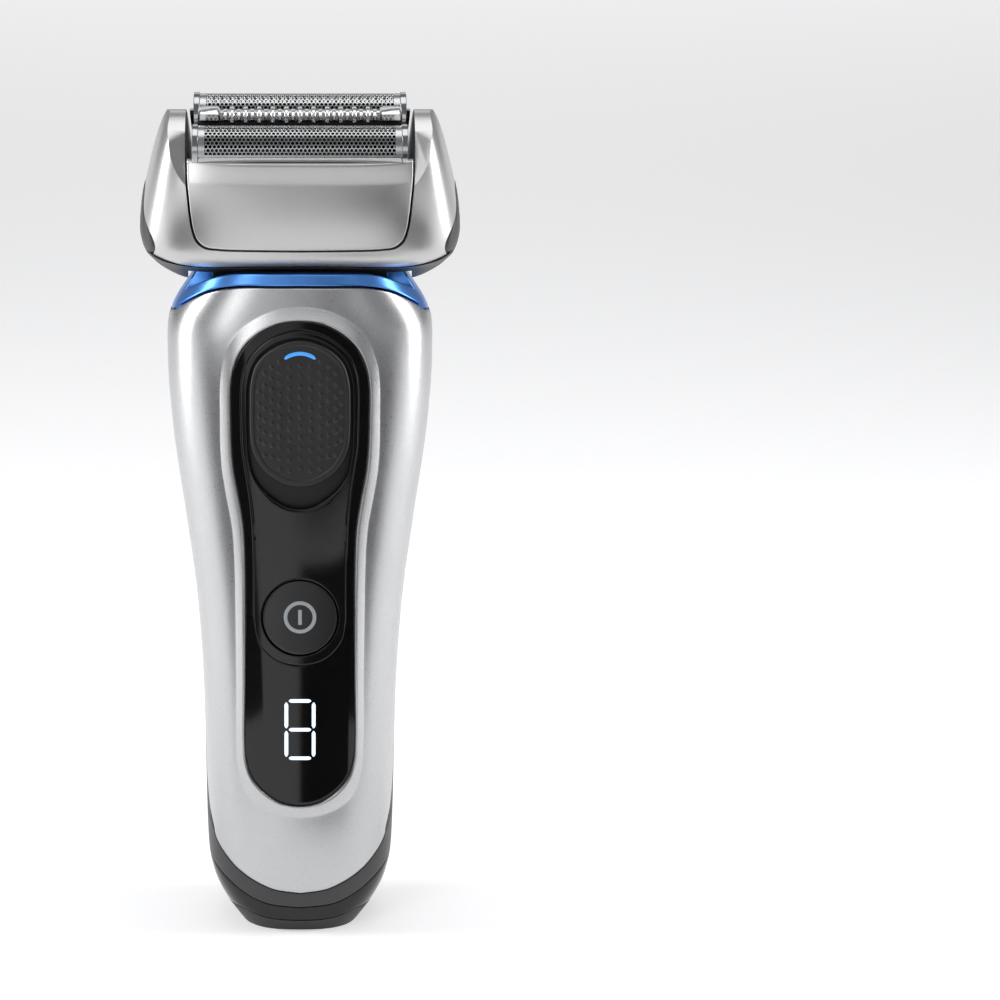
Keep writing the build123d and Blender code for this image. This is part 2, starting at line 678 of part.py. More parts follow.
# combs: a fixed blade and, lying on it, the moving blade
with BuildPart() as trimmer_fixed_blade:
    with BuildSketch(front_xz(15.2)):
        with Locations((0, 114.4)):
            Rectangle(26.2, 5.8)
        with GridLocations(1.3, 1, 20, 1):
            with Locations((0, 118.0)):
                Rectangle(0.62, 2.2)
    extrude(amount=0.6)
save(trimmer_fixed_blade, "trimmer_fixed_blade")

with BuildPart() as trimmer_moving_blade:
    with BuildSketch(front_xz(14.55)):
        with Locations((0, 114.2)):
            Rectangle(23.6, 5.0)
        with GridLocations(1.3, 1, 18, 1):
            with Locations((0, 117.6)):
                Rectangle(0.62, 2.2)
    extrude(amount=0.6)
save(trimmer_moving_blade, "trimmer_moving_blade")

with BuildPart() as trimmer_release:
    add(body_form(1.35, 68.0, 86.0).part)
    add(body_form(-0.9, 68.0, 86.0).part, mode=Mode.SUBTRACT)
    with BuildSketch(release_xz):
        with Locations((0, 75.4)):
            RectangleRounded(10.8, 6.4, 2.0)
    extrude(amount=12, mode=Mode.INTERSECT)
save(trimmer_release, "trimmer_release")

# ---------------------------------------------------------------- head housing
head_out = head_form(0.0)
head_in = head_form(-WALL)
head_in_panel = head_form(-0.9, 8.0, 34.2)
head_low = below(lifted(HEAD_SPLIT, GAP), -20, head_xz())
head_under = below(HEAD_SPLIT, -20, head_xz())

with BuildPart() as cassette_gap:      # slot through the housing that takes the cassette
    with BuildSketch(head_xz()):
        with BuildLine():
            pts = [(x + 0.35 * (1 if x > 15 else 0), z - 0.4) for x, z in CASSETTE]
            pts = [(-x, z) for x, z in reversed(pts) if x > 0] + pts
            Spline(*pts)
            Polyline(pts[-1], (pts[-1][0], 60), (pts[0][0], 60), pts[0])
        make_face()
    extrude(amount=40, both=True)

RELEASE_H, RELEASE_RY, RELEASE_RH = 10.8, 10.2, 5.4
with BuildPart() as button_holes:
    with BuildSketch(head_yz(-40)):
        with Locations((0, RELEASE_H)):
            Ellipse(RELEASE_RY + 0.25, RELEASE_RH + 0.25)
    extrude(amount=15.2)
    with BuildSketch(head_yz(24.8)):
        with Locations((0, RELEASE_H)):
            Ellipse(RELEASE_RY + 0.25, RELEASE_RH + 0.25)
    extrude(amount=15.2)
with BuildPart() as cheek_slots:       # room for the collar's cheeks, and their swing
    for x0 in (-21.9, 16.95):
        with BuildSketch(head_yz(x0)):
            Circle(5.1)
            with Locations((0, -4.9)):
                Rectangle(24, 14.2)
        extrude(amount=4.95)

with BuildPart() as arm_walls:
    add(head_in.part)
    with BuildSketch(head_xy(8.6)):
        with Locations((-22.7, 0), (22.7, 0)):
            Rectangle(1.4, 60)
    extrude(amount=40, mode=Mode.INTERSECT)
# seen from the side the two arms end in a round brow that falls away to the rear
BROW = [(-16.9, 21.0), (-13.4, 26.0), (-9.2, 29.7), (-4.6, 32.0), (0, 32.9), (3.6, 31.95),
        (8.0, 29.2), (12.0, 26.0), (16.9, 21.0)]
with BuildPart() as over_brow:
    with BuildSketch(head_yz(-40)):
        with BuildLine():
            Spline(*BROW)
            Polyline(BROW[-1], (24, 21), (24, 45), (-24, 45), (-24, 21), BROW[0])
        make_face()
    extrude(amount=80)
with BuildPart() as brow_cap:          # closes the hollow arms under the brow
    add(head_out.part)
    with BuildSketch(head_yz(-40)):
        with BuildLine():
            Spline(*BROW)
            Line(BROW[-1], (16.9, 19.2))
            Spline(*[(y, h - 1.8) for y, h in reversed(BROW)])
            Line((-16.9, 19.2), BROW[0])
        make_face()
    extrude(amount=80, mode=Mode.INTERSECT)
    with BuildSketch(head_xy(8.6)):
        with Locations((-32.3, 0), (32.3, 0)):
            Rectangle(20, 60)
    extrude(amount=40, mode=Mode.INTERSECT)
with BuildPart() as head_frame:
    add(head_out.part)
    add(head_in.part, mode=Mode.SUBTRACT)
    add(arm_walls.part)
    add(brow_cap.part)
    add(over_brow.part, mode=Mode.SUBTRACT)
    add(cassette_gap.part, mode=Mode.SUBTRACT)
    add(head_low.part, mode=Mode.SUBTRACT)
    add(button_holes.part, mode=Mode.SUBTRACT)
    add(cheek_slots.part, mode=Mode.SUBTRACT)
save(head_frame, "head_frame")

with BuildPart() as head_floor:
    add(head_in.part)
    with BuildSketch(head_xy(0.6)):
        Rectangle(70, 60)
    extrude(amount=1.4, mode=Mode.INTERSECT)
with BuildPart() as head_base:
    add(head_out.part)
    add(head_in.part, mode=Mode.SUBTRACT)
    add(head_under.part, mode=Mode.INTERSECT)
    add(head_floor.part)
    for x0 in (-16.9, 13.6):
        with BuildSketch(head_yz(x0)):
            Circle(3.0)
        extrude(amount=3.3)
    add(cheek_slots.part, mode=Mode.SUBTRACT)
    add(button_holes.part, mode=Mode.SUBTRACT)
    with BuildSketch(head_yz(-19.65)):
        Circle(PIN_R + 0.02)
    extrude(amount=39.3, mode=Mode.SUBTRACT)
save(head_base, "head_base")

with BuildPart() as swivel_pins:
    for x0 in (-19.5, 13.7):
        with BuildSketch(head_yz(x0)):
            Circle(PIN_R)
        extrude(amount=5.8)
save(swivel_pins, "swivel_pins")

for side, name in ((-1, "release_button_left"), (1, "release_button_right")):
    with BuildPart() as release_button:
        with BuildSketch(head_yz(side * 26.6)):
            with Locations((0, RELEASE_H)):
                Ellipse(RELEASE_RY, RELEASE_RH)
        extrude(amount=side * 8)
        add(head_out.part, mode=Mode.INTERSECT)
    save(release_button, name)

with BuildPart() as drive_cover:
    add(head_form(-1.75, 10.4, 12.2).part)
    with BuildSketch(head_xy(5)):
        Rectangle(43.2, 60)
    extrude(amount=20, mode=Mode.INTERSECT)
    with BuildSketch(head_xy(5)):
        with Locations((0, -FOIL_Y), (0, FOIL_Y)):
            RectangleRounded(2 * (1.0 + STROKE) + 1.6, 3.2, 1.5)
    extrude(amount=20, mode=Mode.SUBTRACT)
save(drive_cover, "drive_cover")

with BuildPart() as motor_core:
    with BuildSketch(head_xy(2.4)):
        Rectangle(26, 9.6)
    extrude(amount=1.8)
    with BuildSketch(head_xy(4.2)):
        with Locations((-11.6, 0), (11.6, 0)):
            Rectangle(2.8, 9.6)
        Rectangle(7.0, 5.0)
    extrude(amount=3.4)
save(motor_core, "motor_core")

with BuildPart() as motor_coil:
    with BuildSketch(head_xy(4.3)):
        RectangleRounded(14.0, 9.4, 2.4)
        RectangleRounded(7.4, 5.4, 0.2, mode=Mode.SUBTRACT)
    extrude(amount=2.9)
save(motor_coil, "motor_coil")

for side, name in ((-1, "front_drive_bridge"), (1, "rear_drive_bridge")):
    with BuildPart() as bridge:
        with BuildSketch(head_xy(8.0)):
            with Locations((0, side * 4.2)):
                RectangleRounded(24, 7.4, 1.2)
        extrude(amount=1.6)
        with BuildSketch(head_xy(9.6)):
            with Locations((0, side * FOIL_Y)):
                Circle(0.95)
        extrude(amount=13.4)
    save(bridge, name)

with BuildPart() as flexure_springs:
    for x in (-15.6, 15.2):
        with BuildSketch(head_yz(x)):
            with Locations((-4.6, 6.9), (4.6, 6.9)):
                Rectangle(5.0, 6.6)
                Rectangle(3.0, 4.0, mode=Mode.SUBTRACT)
        extrude(amount=0.4)
save(flexure_springs, "flexure_springs")

# ---------------------------------------------------------------- cassette
with BuildPart() as cassette_body_zone:
    with BuildSketch(head_xz()):
        with BuildLine():
            pts = [(-x, z) for x, z in reversed(CASSETTE) if x > 0] + CASSETTE
            Spline(*pts)
            Polyline(pts[-1], pts[0])
        make_face()
    extrude(amount=40, both=True)

for side, name in ((-1, "cassette_front_panel"), (1, "cassette_rear_panel")):
    with BuildPart() as panel:
        add(head_out.part)
        add(head_in_panel.part, mode=Mode.SUBTRACT)
        add(cassette_body_zone.part, mode=Mode.INTERSECT)
        with BuildSketch(head_xy(0)):
            with Locations((0, side * 26)):
                Rectangle(60, 40)
        extrude(amount=40, mode=Mode.INTERSECT)
        with BuildSketch(head_xy(24.8)):
            Rectangle(2 * 20.85, 2 * 11.7)
        extrude(amount=12, mode=Mode.SUBTRACT)
    save(panel, name)

FRAME_X, FRAME_Y, FRAME_LOW, FRAME_TOP = 20.9, 12.0, 13.6, 24.7
with BuildPart() as cassette_ribs:
    add(head_in_panel.part)
    with BuildSketch(head_xy(15.5)):
        with Locations((-12, 0), (12, 0)):
            Rectangle(1.6, 60)
    extrude(amount=7.5, mode=Mode.INTERSECT)
with BuildPart() as cassette_frame:
    with BuildSketch(head_xy(FRAME_LOW)):
        RectangleRounded(2 * 19.0, 2 * FRAME_Y, 1.5)
    extrude(amount=5.0)
    with BuildSketch(head_xy(FRAME_LOW + 5.0)):
        RectangleRounded(2 * 20.3, 2 * FRAME_Y, 1.5)
    extrude(amount=FRAME_TOP - FRAME_LOW - 5.0)
    add(cassette_ribs.part)
    with BuildSketch(head_xy(FRAME_LOW + 1.4)):
        RectangleRounded(2 * 17.9, 2 * FRAME_Y - 2.0, 1.0)
    extrude(amount=20, mode=Mode.SUBTRACT)
    with BuildSketch(head_xy(FRAME_LOW + 6.2)):
        RectangleRounded(2 * 19.3, 2 * FRAME_Y - 2.0, 1.0)
    extrude(amount=20, mode=Mode.SUBTRACT)
    with BuildSketch(head_xy(FRAME_LOW - 1)):
        with Locations((0, -FOIL_Y), (0, FOIL_Y)):
            RectangleRounded(12, 6.0, 2.0)
    extrude(amount=20, mode=Mode.SUBTRACT)
save(cassette_frame, "cassette_frame")

for side, word in ((-1, "front"), (1, "rear")):
    yc = side * FOIL_Y
    # carrier: two end caps joined by a rail on each side
    with BuildPart() as carrier:
        for x0 in (-20.55, 19.4):
            with BuildSketch(head_yz(x0)):
                with Locations((yc, FOIL_H)):
                    Circle(FOIL_R + 0.3)
                with Locations((yc, (27.0 + FOIL_H) / 2)):
                    Rectangle(2 * FOIL_R + 0.6, FOIL_H - 27.0)
                with Locations((yc, 27.0 - 5)):
                    Rectangle(14, 10, mode=Mode.SUBTRACT)
            extrude(amount=1.15)
        with BuildSketch(head_yz(-19.6)):
            with Locations((yc - FOIL_R - 0.18, 28.2), (yc + FOIL_R + 0.18, 28.2)):
                Rectangle(0.24, 2.4)
        extrude(amount=39.2)
        with BuildSketch(head_xy(22.2)):
            with Locations((-18.55, yc), (18.55, yc)):
                Rectangle(0.7, 3.0)
        extrude(amount=5.4)
        with BuildSketch(head_xy(27.0)):
            with Locations((-19.0, yc), (19.0, yc)):
                Rectangle(1.6, 3.0)
        extrude(amount=0.8)
    save(carrier, f"{word}_foil_carrier")

    with BuildPart() as foil:
        with BuildSketch(head_yz(-19.35)):
            with Locations((yc, FOIL_H)):
                Circle(FOIL_R)
            with Locations((yc, FOIL_H - 0.6)):
                Rectangle(2 * FOIL_R, 1.2)
            with Locations((yc, FOIL_H)):
                Circle(FOIL_R - 0.2, mode=Mode.SUBTRACT)
            with Locations((yc, FOIL_H - 3.2)):
                Rectangle(2 * FOIL_R - 0.4, 6.4, mode=Mode.SUBTRACT)
            with Locations((yc, FOIL_H - 1.2 - 3)):
                Rectangle(12, 6, mode=Mode.SUBTRACT)
        extrude(amount=38.7)
    save(foil, f"{word}_foil")

    # lamella block that sweeps under the foil
    with BuildPart() as cutter:
        count = 22
        for i in range(count):
            with BuildSketch(head_yz(-16.6 + i * 33.0 / (count - 1) - 0.2)):
                with Locations((yc, FOIL_H)):
                    Circle(FOIL_R - 0.5)
                with Locations((yc, FOIL_H - 2.2 - 3)):
                    Rectangle(12, 6, mode=Mode.SUBTRACT)
            extrude(amount=0.4)
        with BuildSketch(head_xy(FOIL_H - 3.4)):
            with Locations((0, yc)):
                Rectangle(33.4, 5.6)
        extrude(amount=2.2)
        with BuildSketch(head_xy(20.4)):
            with Locations((0, yc)):
                Rectangle(8.0, 4.4)
        extrude(amount=FOIL_H - 3.4 - 20.4)
        with BuildSketch(head_xy(19.0)):
            with Locations((0, yc)):
                Rectangle(2 * 1.0, 2.6)
        extrude(amount=6.6, mode=Mode.SUBTRACT)
    save(cutter, f"{word}_cutter_block")

with BuildPart() as trimmer_holder:
    with BuildSketch(head_yz(-19.6)):
        with Locations((0, (25.0 + 31.6) / 2)):
            Rectangle(3.3, 31.6 - 25.0)
    extrude(amount=39.2)
    with BuildSketch(head_xy(20)):
        RectangleRounded(8.2, 1.9, 0.9)
    extrude(amount=20, mode=Mode.SUBTRACT)
    with BuildSketch(head_xy(24.5)):       # stepped ends that sink past the frame's rim
        with Locations((-19.5, 0), (19.5, 0)):
            Rectangle(1.2, 4)
    extrude(amount=2.0, mode=Mode.SUBTRACT)
save(trimmer_holder, "mid_trimmer_holder")

with BuildPart() as skin_guard:
    with BuildSketch(head_yz(-19.6)):
        with Locations((0, (31.6 + 33.9) / 2)):
            Rectangle(3.5, 33.9 - 31.6)
    extrude(amount=39.2)
    fillet(skin_guard.edges().filter_by(lambda e: abs(e.tangent_at(0).X) > 0.99)
           .group_by(lambda e: round(HP.to_local_coords(e.center()).Z, 2))[-1], 0.9)
    with BuildSketch(head_yz(-18.0)):
        with Locations((0, (31.0 + 33.45) / 2)):
            Rectangle(2.7, 33.45 - 31.0)
    extrude(amount=36.0, mode=Mode.SUBTRACT)
    with BuildSketch(head_xy(32.3)):
        with GridLocations(1.9, 1, 15, 1):
            Rectangle(0.95, 6)
    extrude(amount=4, mode=Mode.SUBTRACT)
save(skin_guard, "skin_guard")

with BuildPart() as mid_blade:
    with BuildSketch(head_xy(31.9)):
        Rectangle(31.0, 2.1)
    extrude(amount=0.5)
    with BuildSketch(head_xy(32.4)):
        with GridLocations(1.9, 1, 15, 1):
            Rectangle(0.8, 2.1)
    extrude(amount=0.8)
    with BuildSketch(head_xy(24.0)):
        Rectangle(2.6, 1.3)
    extrude(amount=8.2)
save(mid_blade, "mid_trimmer_blade")

# coil springs under the foil carriers, standing on the cassette floor
with BuildPart() as float_springs:
    with BuildSketch(head_xy(FRAME_LOW + 1.4)):
        with Locations((-14.5, -FOIL_Y), (14.5, -FOIL_Y), (-14.5, FOIL_Y), (14.5, FOIL_Y)):
            Circle(1.6)
            Circle(1.1, mode=Mode.SUBTRACT)
    extrude(amount=7.4)
save(float_springs, "float_springs")
print("done")
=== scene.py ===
import math

import bpy
import numpy as np
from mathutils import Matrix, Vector


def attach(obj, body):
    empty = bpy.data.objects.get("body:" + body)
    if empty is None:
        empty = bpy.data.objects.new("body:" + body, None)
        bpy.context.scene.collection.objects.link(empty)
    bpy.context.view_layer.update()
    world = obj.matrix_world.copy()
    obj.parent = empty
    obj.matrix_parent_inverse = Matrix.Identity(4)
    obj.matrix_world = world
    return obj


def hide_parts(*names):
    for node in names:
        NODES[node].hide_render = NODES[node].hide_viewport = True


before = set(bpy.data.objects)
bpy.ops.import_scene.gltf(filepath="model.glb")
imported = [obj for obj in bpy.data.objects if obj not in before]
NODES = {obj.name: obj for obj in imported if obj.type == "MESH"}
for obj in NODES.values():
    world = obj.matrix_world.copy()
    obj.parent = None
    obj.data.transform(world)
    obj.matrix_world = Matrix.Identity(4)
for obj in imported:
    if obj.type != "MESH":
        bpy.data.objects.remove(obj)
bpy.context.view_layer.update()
MM = 0.001

# ------------------------------------------------------------------ form tables, millimetres
YC, BODY_N, HEAD_N = 1.0, 2.7, 4.0
PIVOT = np.array([0.0, 1.0, 136.0])
TILT = math.radians(17.0)
BODY = [
    (0.0, 12.0, 10.9, 9.8), (2.5, 13.85, 11.85, 11.3), (6.0, 16.1, 12.9, 12.8),
    (10.0, 17.85, 13.6, 13.9), (15.0, 18.7, 14.1, 14.7), (24.0, 19.0, 14.6, 15.3),
    (45.0, 19.3, 15.0, 16.0), (66.0, 20.4, 15.15, 16.5), (86.0, 22.8, 15.6, 17.3),
    (104.0, 25.2, 16.1, 17.8), (117.0, 26.1, 16.3, 17.35), (124.5, 26.15, 16.1, 16.45),
    (129.0, 24.7, 15.87, 15.65), (134.0, 21.3, 15.57, 14.85), (140.6, 18.4, 15.2, 14.2),
]
HEAD = [
    (-1.0, 24.0, 5.0, 5.0), (1.0, 26.9, 6.4, 6.4), (3.1, 28.6, 8.6, 8.6), (5.2, 29.6, 11.6, 11.6),
    (7.0, 30.35, 14.3, 14.3), (8.6, 30.75, 15.65, 15.65), (11.0, 31.0, 16.1, 16.1),
    (15.0, 30.4, 16.15, 16.15), (20.0, 29.3, 15.65, 15.65), (25.0, 28.1, 14.55, 14.55),
    (29.0, 26.9, 12.9, 12.9), (32.0, 25.5, 10.4, 10.4), (34.2, 23.8, 6.4, 6.4),
]
SILVER_EDGE = [(0, 8.85), (4.76, 9.52), (8.71, 11.14), (12.56, 13.6), (15.11, 16.14),
               (16.95, 18.71), (17.9, 21.5), (19.5, 25.0), (23, 29)]
BAND_EDGE = [(0, 5.5), (5.89, 6.08), (8.73, 6.98), (11.78, 8.61), (14.11, 10.31),
             (16.5, 12.2), (19.0, 14.4), (23, 18)]
PLATE_EDGE = [(0, 2.29), (4.78, 2.48), (8.76, 3.24), (10.8, 4.0), (13.0, 5.0), (18, 7.4),
              (23, 9.5)]
ARCH_SHELL = [(0, 135.11), (8.0, 135.0), (11.55, 134.81), (14.2, 134.4), (16.2, 133.89),
              (18.2, 133.1), (20.2, 131.95), (22.5, 130.3), (25.2, 127.8), (30, 123)]
ARCH_RIM = [(0, 137.5), (8.0, 137.35), (11.5, 137.16), (13.7, 136.86), (15.7, 136.3),
            (17.7, 135.4), (19.8, 134.1), (22.1, 132.35), (25.2, 129.6), (30, 125)]
ARCH_SHELL_REAR = [(0, 131.6), (8.0, 131.4), (14, 130.8), (19, 129.5), (22.5, 128.6),
                   (25.2, 127.2), (30, 124)]
ARCH_RIM_REAR = [(0, 133.9), (8.0, 133.7), (14, 133.1), (19, 131.8), (22.5, 130.9),
                 (25.2, 129.4), (30, 126)]
SPLIT = [(-5, -4.2), (12, -6.4), (20, -7.6), (25.5, -5.15), (33, -3.1), (48, -2.0),
         (75, -1.5), (105, -1.2), (127, -0.6), (150, -0.4)]
FASCIA = [(0, 128.4), (3.8, 127.98), (6.83, 126.7), (9.69, 124.5), (11.6, 121.9),
          (12.87, 118.5), (13.37, 115), (13.38, 108.6), (13.25, 102.6), (12.89, 98.15),
          (12.14, 93.9), (11.45, 89.8), (11.0, 86), (10.75, 79), (10.74, 67.8),
          (10.85, 55), (11.0, 42), (10.75, 37.8), (9.69, 34.3), (7.23, 31.24),
          (3.8, 29.0), (0, 28.29)]
RIDGE = [(0, 130.95), (4.2, 130.5), (7.6, 129.2), (10.6, 127.2), (13.0, 124.6), (14.6, 121.2),
         (15.35, 117.5), (15.61, 112.49), (15.59, 106), (15.59, 102.35), (15.04, 96.25),
         (14.1, 90.5), (13.34, 86.08), (12.95, 79), (12.83, 67.8), (12.76, 55), (12.78, 42),
         (12.5, 36.4), (11.5, 31.6), (8.9, 28.4), (4.8, 26.6), (0, 26.0)]
PANEL = [(0, 126.5), (3.78, 125.75), (6.83, 124.1), (9.7, 121.1), (11.0, 117.8),
         (11.36, 114.5), (11.38, 108.7), (11.2, 103), (10.5, 98.2), (9.66, 92.5),
         (9.2, 86.5), (9.02, 78.6), (9.05, 71), (9.0, 66.8), (8.3, 63.2), (5.6, 60.0),
         (2.9, 58.75), (0, 58.37)]
RECESS = [(0, 125.25), (3.78, 124.5), (6.84, 122.7), (8.94, 120.1), (10.15, 116.1),
          (10.34, 112), (10.34, 106), (10.1, 101.5), (9.3, 97.6), (7.6, 94.7), (5, 92.4),
          (2.5, 91.0), (0, 90.6)]
PAD = [(0, 124.75), (3.1, 124.15), (6.1, 122.5), (8.5, 119.8), (9.6, 115.9), (9.75, 112),
       (9.75, 107.5), (9.45, 103.6), (8.5, 100.9), (6.9, 98.5), (4.8, 96.9), (2.5, 95.8),
       (0, 95.46)]
PADFACE = [(0, 123.84), (2.9, 123.3), (5.6, 121.8), (7.8, 119.3), (8.8, 115.7), (8.95, 112),
           (8.95, 107.7), (8.7, 104.2), (7.8, 101.7), (6.3, 99.4), (4.3, 97.8), (2.2, 96.8),
           (0, 96.5)]
HEAD_SPLIT = [(0, 7.2), (12, 6.8), (20, 6.0), (24, 6.5), (27, 7.4), (29.5, 8.3), (34, 9.6)]
CASSETTE = [(0, 11.75), (8.6, 11.82), (15.3, 11.95), (18.0, 12.3), (19.5, 13.6),
            (20.25, 15.6), (20.7, 18.2), (21.05, 21.5), (21.35, 25), (21.45, 28.4)]
FOIL_R, FOIL_Y, FOIL_H = 4.5, 6.8, 28.7
BTN_R, BTN_Z = 7.35, 68.3


# ------------------------------------------------------------------ curves
def pchip(xs, ys, x):
    xs, ys = np.asarray(xs, float), np.asarray(ys, float)
    x = np.clip(np.asarray(x, float), xs[0], xs[-1])
    d = np.diff(ys) / np.diff(xs)
    m = np.zeros(len(xs))
    m[0], m[-1] = d[0], d[-1]
    for i in range(1, len(xs) - 1):
        if d[i - 1] * d[i] > 0:
            m[i] = 2 / (1 / d[i - 1] + 1 / d[i])
    i = np.clip(np.searchsorted(xs, x, side="right") - 1, 0, len(xs) - 2)
    h = xs[i + 1] - xs[i]
    t = (x - xs[i]) / h
    return ((2 * t**3 - 3 * t**2 + 1) * ys[i] + (t**3 - 2 * t**2 + t) * h * m[i]
            + (3 * t**2 - 2 * t**3) * ys[i + 1] + (t**3 - t**2) * h * m[i + 1])


def fz(table, x):
    """Height of a symmetric edge line at |x|."""
    return pchip([p[0] for p in table], [p[1] for p in table], np.abs(x))


def resample(points, count, closed=False, dense=40):
    """Smooth curve through the points (Catmull-Rom), evenly spaced."""
    p = np.asarray(points, float)
    n = len(p)
    out = []
    segs = n if closed else n - 1
    for i in range(segs):
        if closed:
            p0, p1, p2, p3 = p[(i - 1) % n], p[i], p[(i + 1) % n], p[(i + 2) % n]
        else:
            p1, p2 = p[i], p[i + 1]
            p0 = p[i - 1] if i else 2 * p1 - p2
            p3 = p[i + 2] if i + 2 < n else 2 * p2 - p1
        k0 = 0.0
        k1 = k0 + max(np.linalg.norm(p1 - p0), 1e-6) ** 0.5
        k2 = k1 + max(np.linalg.norm(p2 - p1), 1e-6) ** 0.5
        k3 = k2 + max(np.linalg.norm(p3 - p2), 1e-6) ** 0.5
        t = np.linspace(k1, k2, dense, endpoint=False)[:, None]
        a1 = (k1 - t) / (k1 - k0) * p0 + (t - k0) / (k1 - k0) * p1
        a2 = (k2 - t) / (k2 - k1) * p1 + (t - k1) / (k2 - k1) * p2
        a3 = (k3 - t) / (k3 - k2) * p2 + (t - k2) / (k3 - k2) * p3
        b1 = (k2 - t) / (k2 - k0) * a1 + (t - k0) / (k2 - k0) * a2
        b2 = (k3 - t) / (k3 - k1) * a2 + (t - k1) / (k3 - k1) * a3
        out.append((k2 - t) / (k2 - k1) * b1 + (t - k1) / (k2 - k1) * b2)
    c = np.vstack(out + [p[:1] if closed else p[-1:]])
    s = np.concatenate([[0], np.cumsum(np.linalg.norm(np.diff(c, axis=0), axis=1))])
    want = np.linspace(0, s[-1], count, endpoint=not closed)
    return np.stack([np.interp(want, s, c[:, 0]), np.interp(want, s, c[:, 1])], 1)


def half_to_loop(points, count):
    """Closed loop from a right half outline given from the top centre to the bottom centre.
    Starts at the top centre and runs down the right side."""
    right = [p for p in points]
    left = [(-x, z) for x, z in reversed(points) if abs(x) > 1e-9]
    return resample(right + left, count, closed=True)


def half_resampled(points, count):
    """The right half, from the top centre to the bottom centre, with a flat tangent at both."""
    p = [(-points[1][0], points[1][1])] + list(points) + [(-points[-2][0], points[-2][1])]
    c = resample(p, 4000)
    i0 = np.argmin(np.abs(c[:1500, 0]) + (c[:1500, 1] < points[0][1] - 3) * 99)
    i1 = 2500 + np.argmin(np.abs(c[2500:, 0]) + (c[2500:, 1] > points[-1][1] + 3) * 99)
    c = c[i0:i1 + 1].copy()
    c[0, 0] = c[-1, 0] = 0.0
    s = np.concatenate([[0], np.cumsum(np.linalg.norm(np.diff(c, axis=0), axis=1))])
    want = np.linspace(0, s[-1], count)
    return np.stack([np.interp(want, s, c[:, 0]), np.interp(want, s, c[:, 1])], 1)


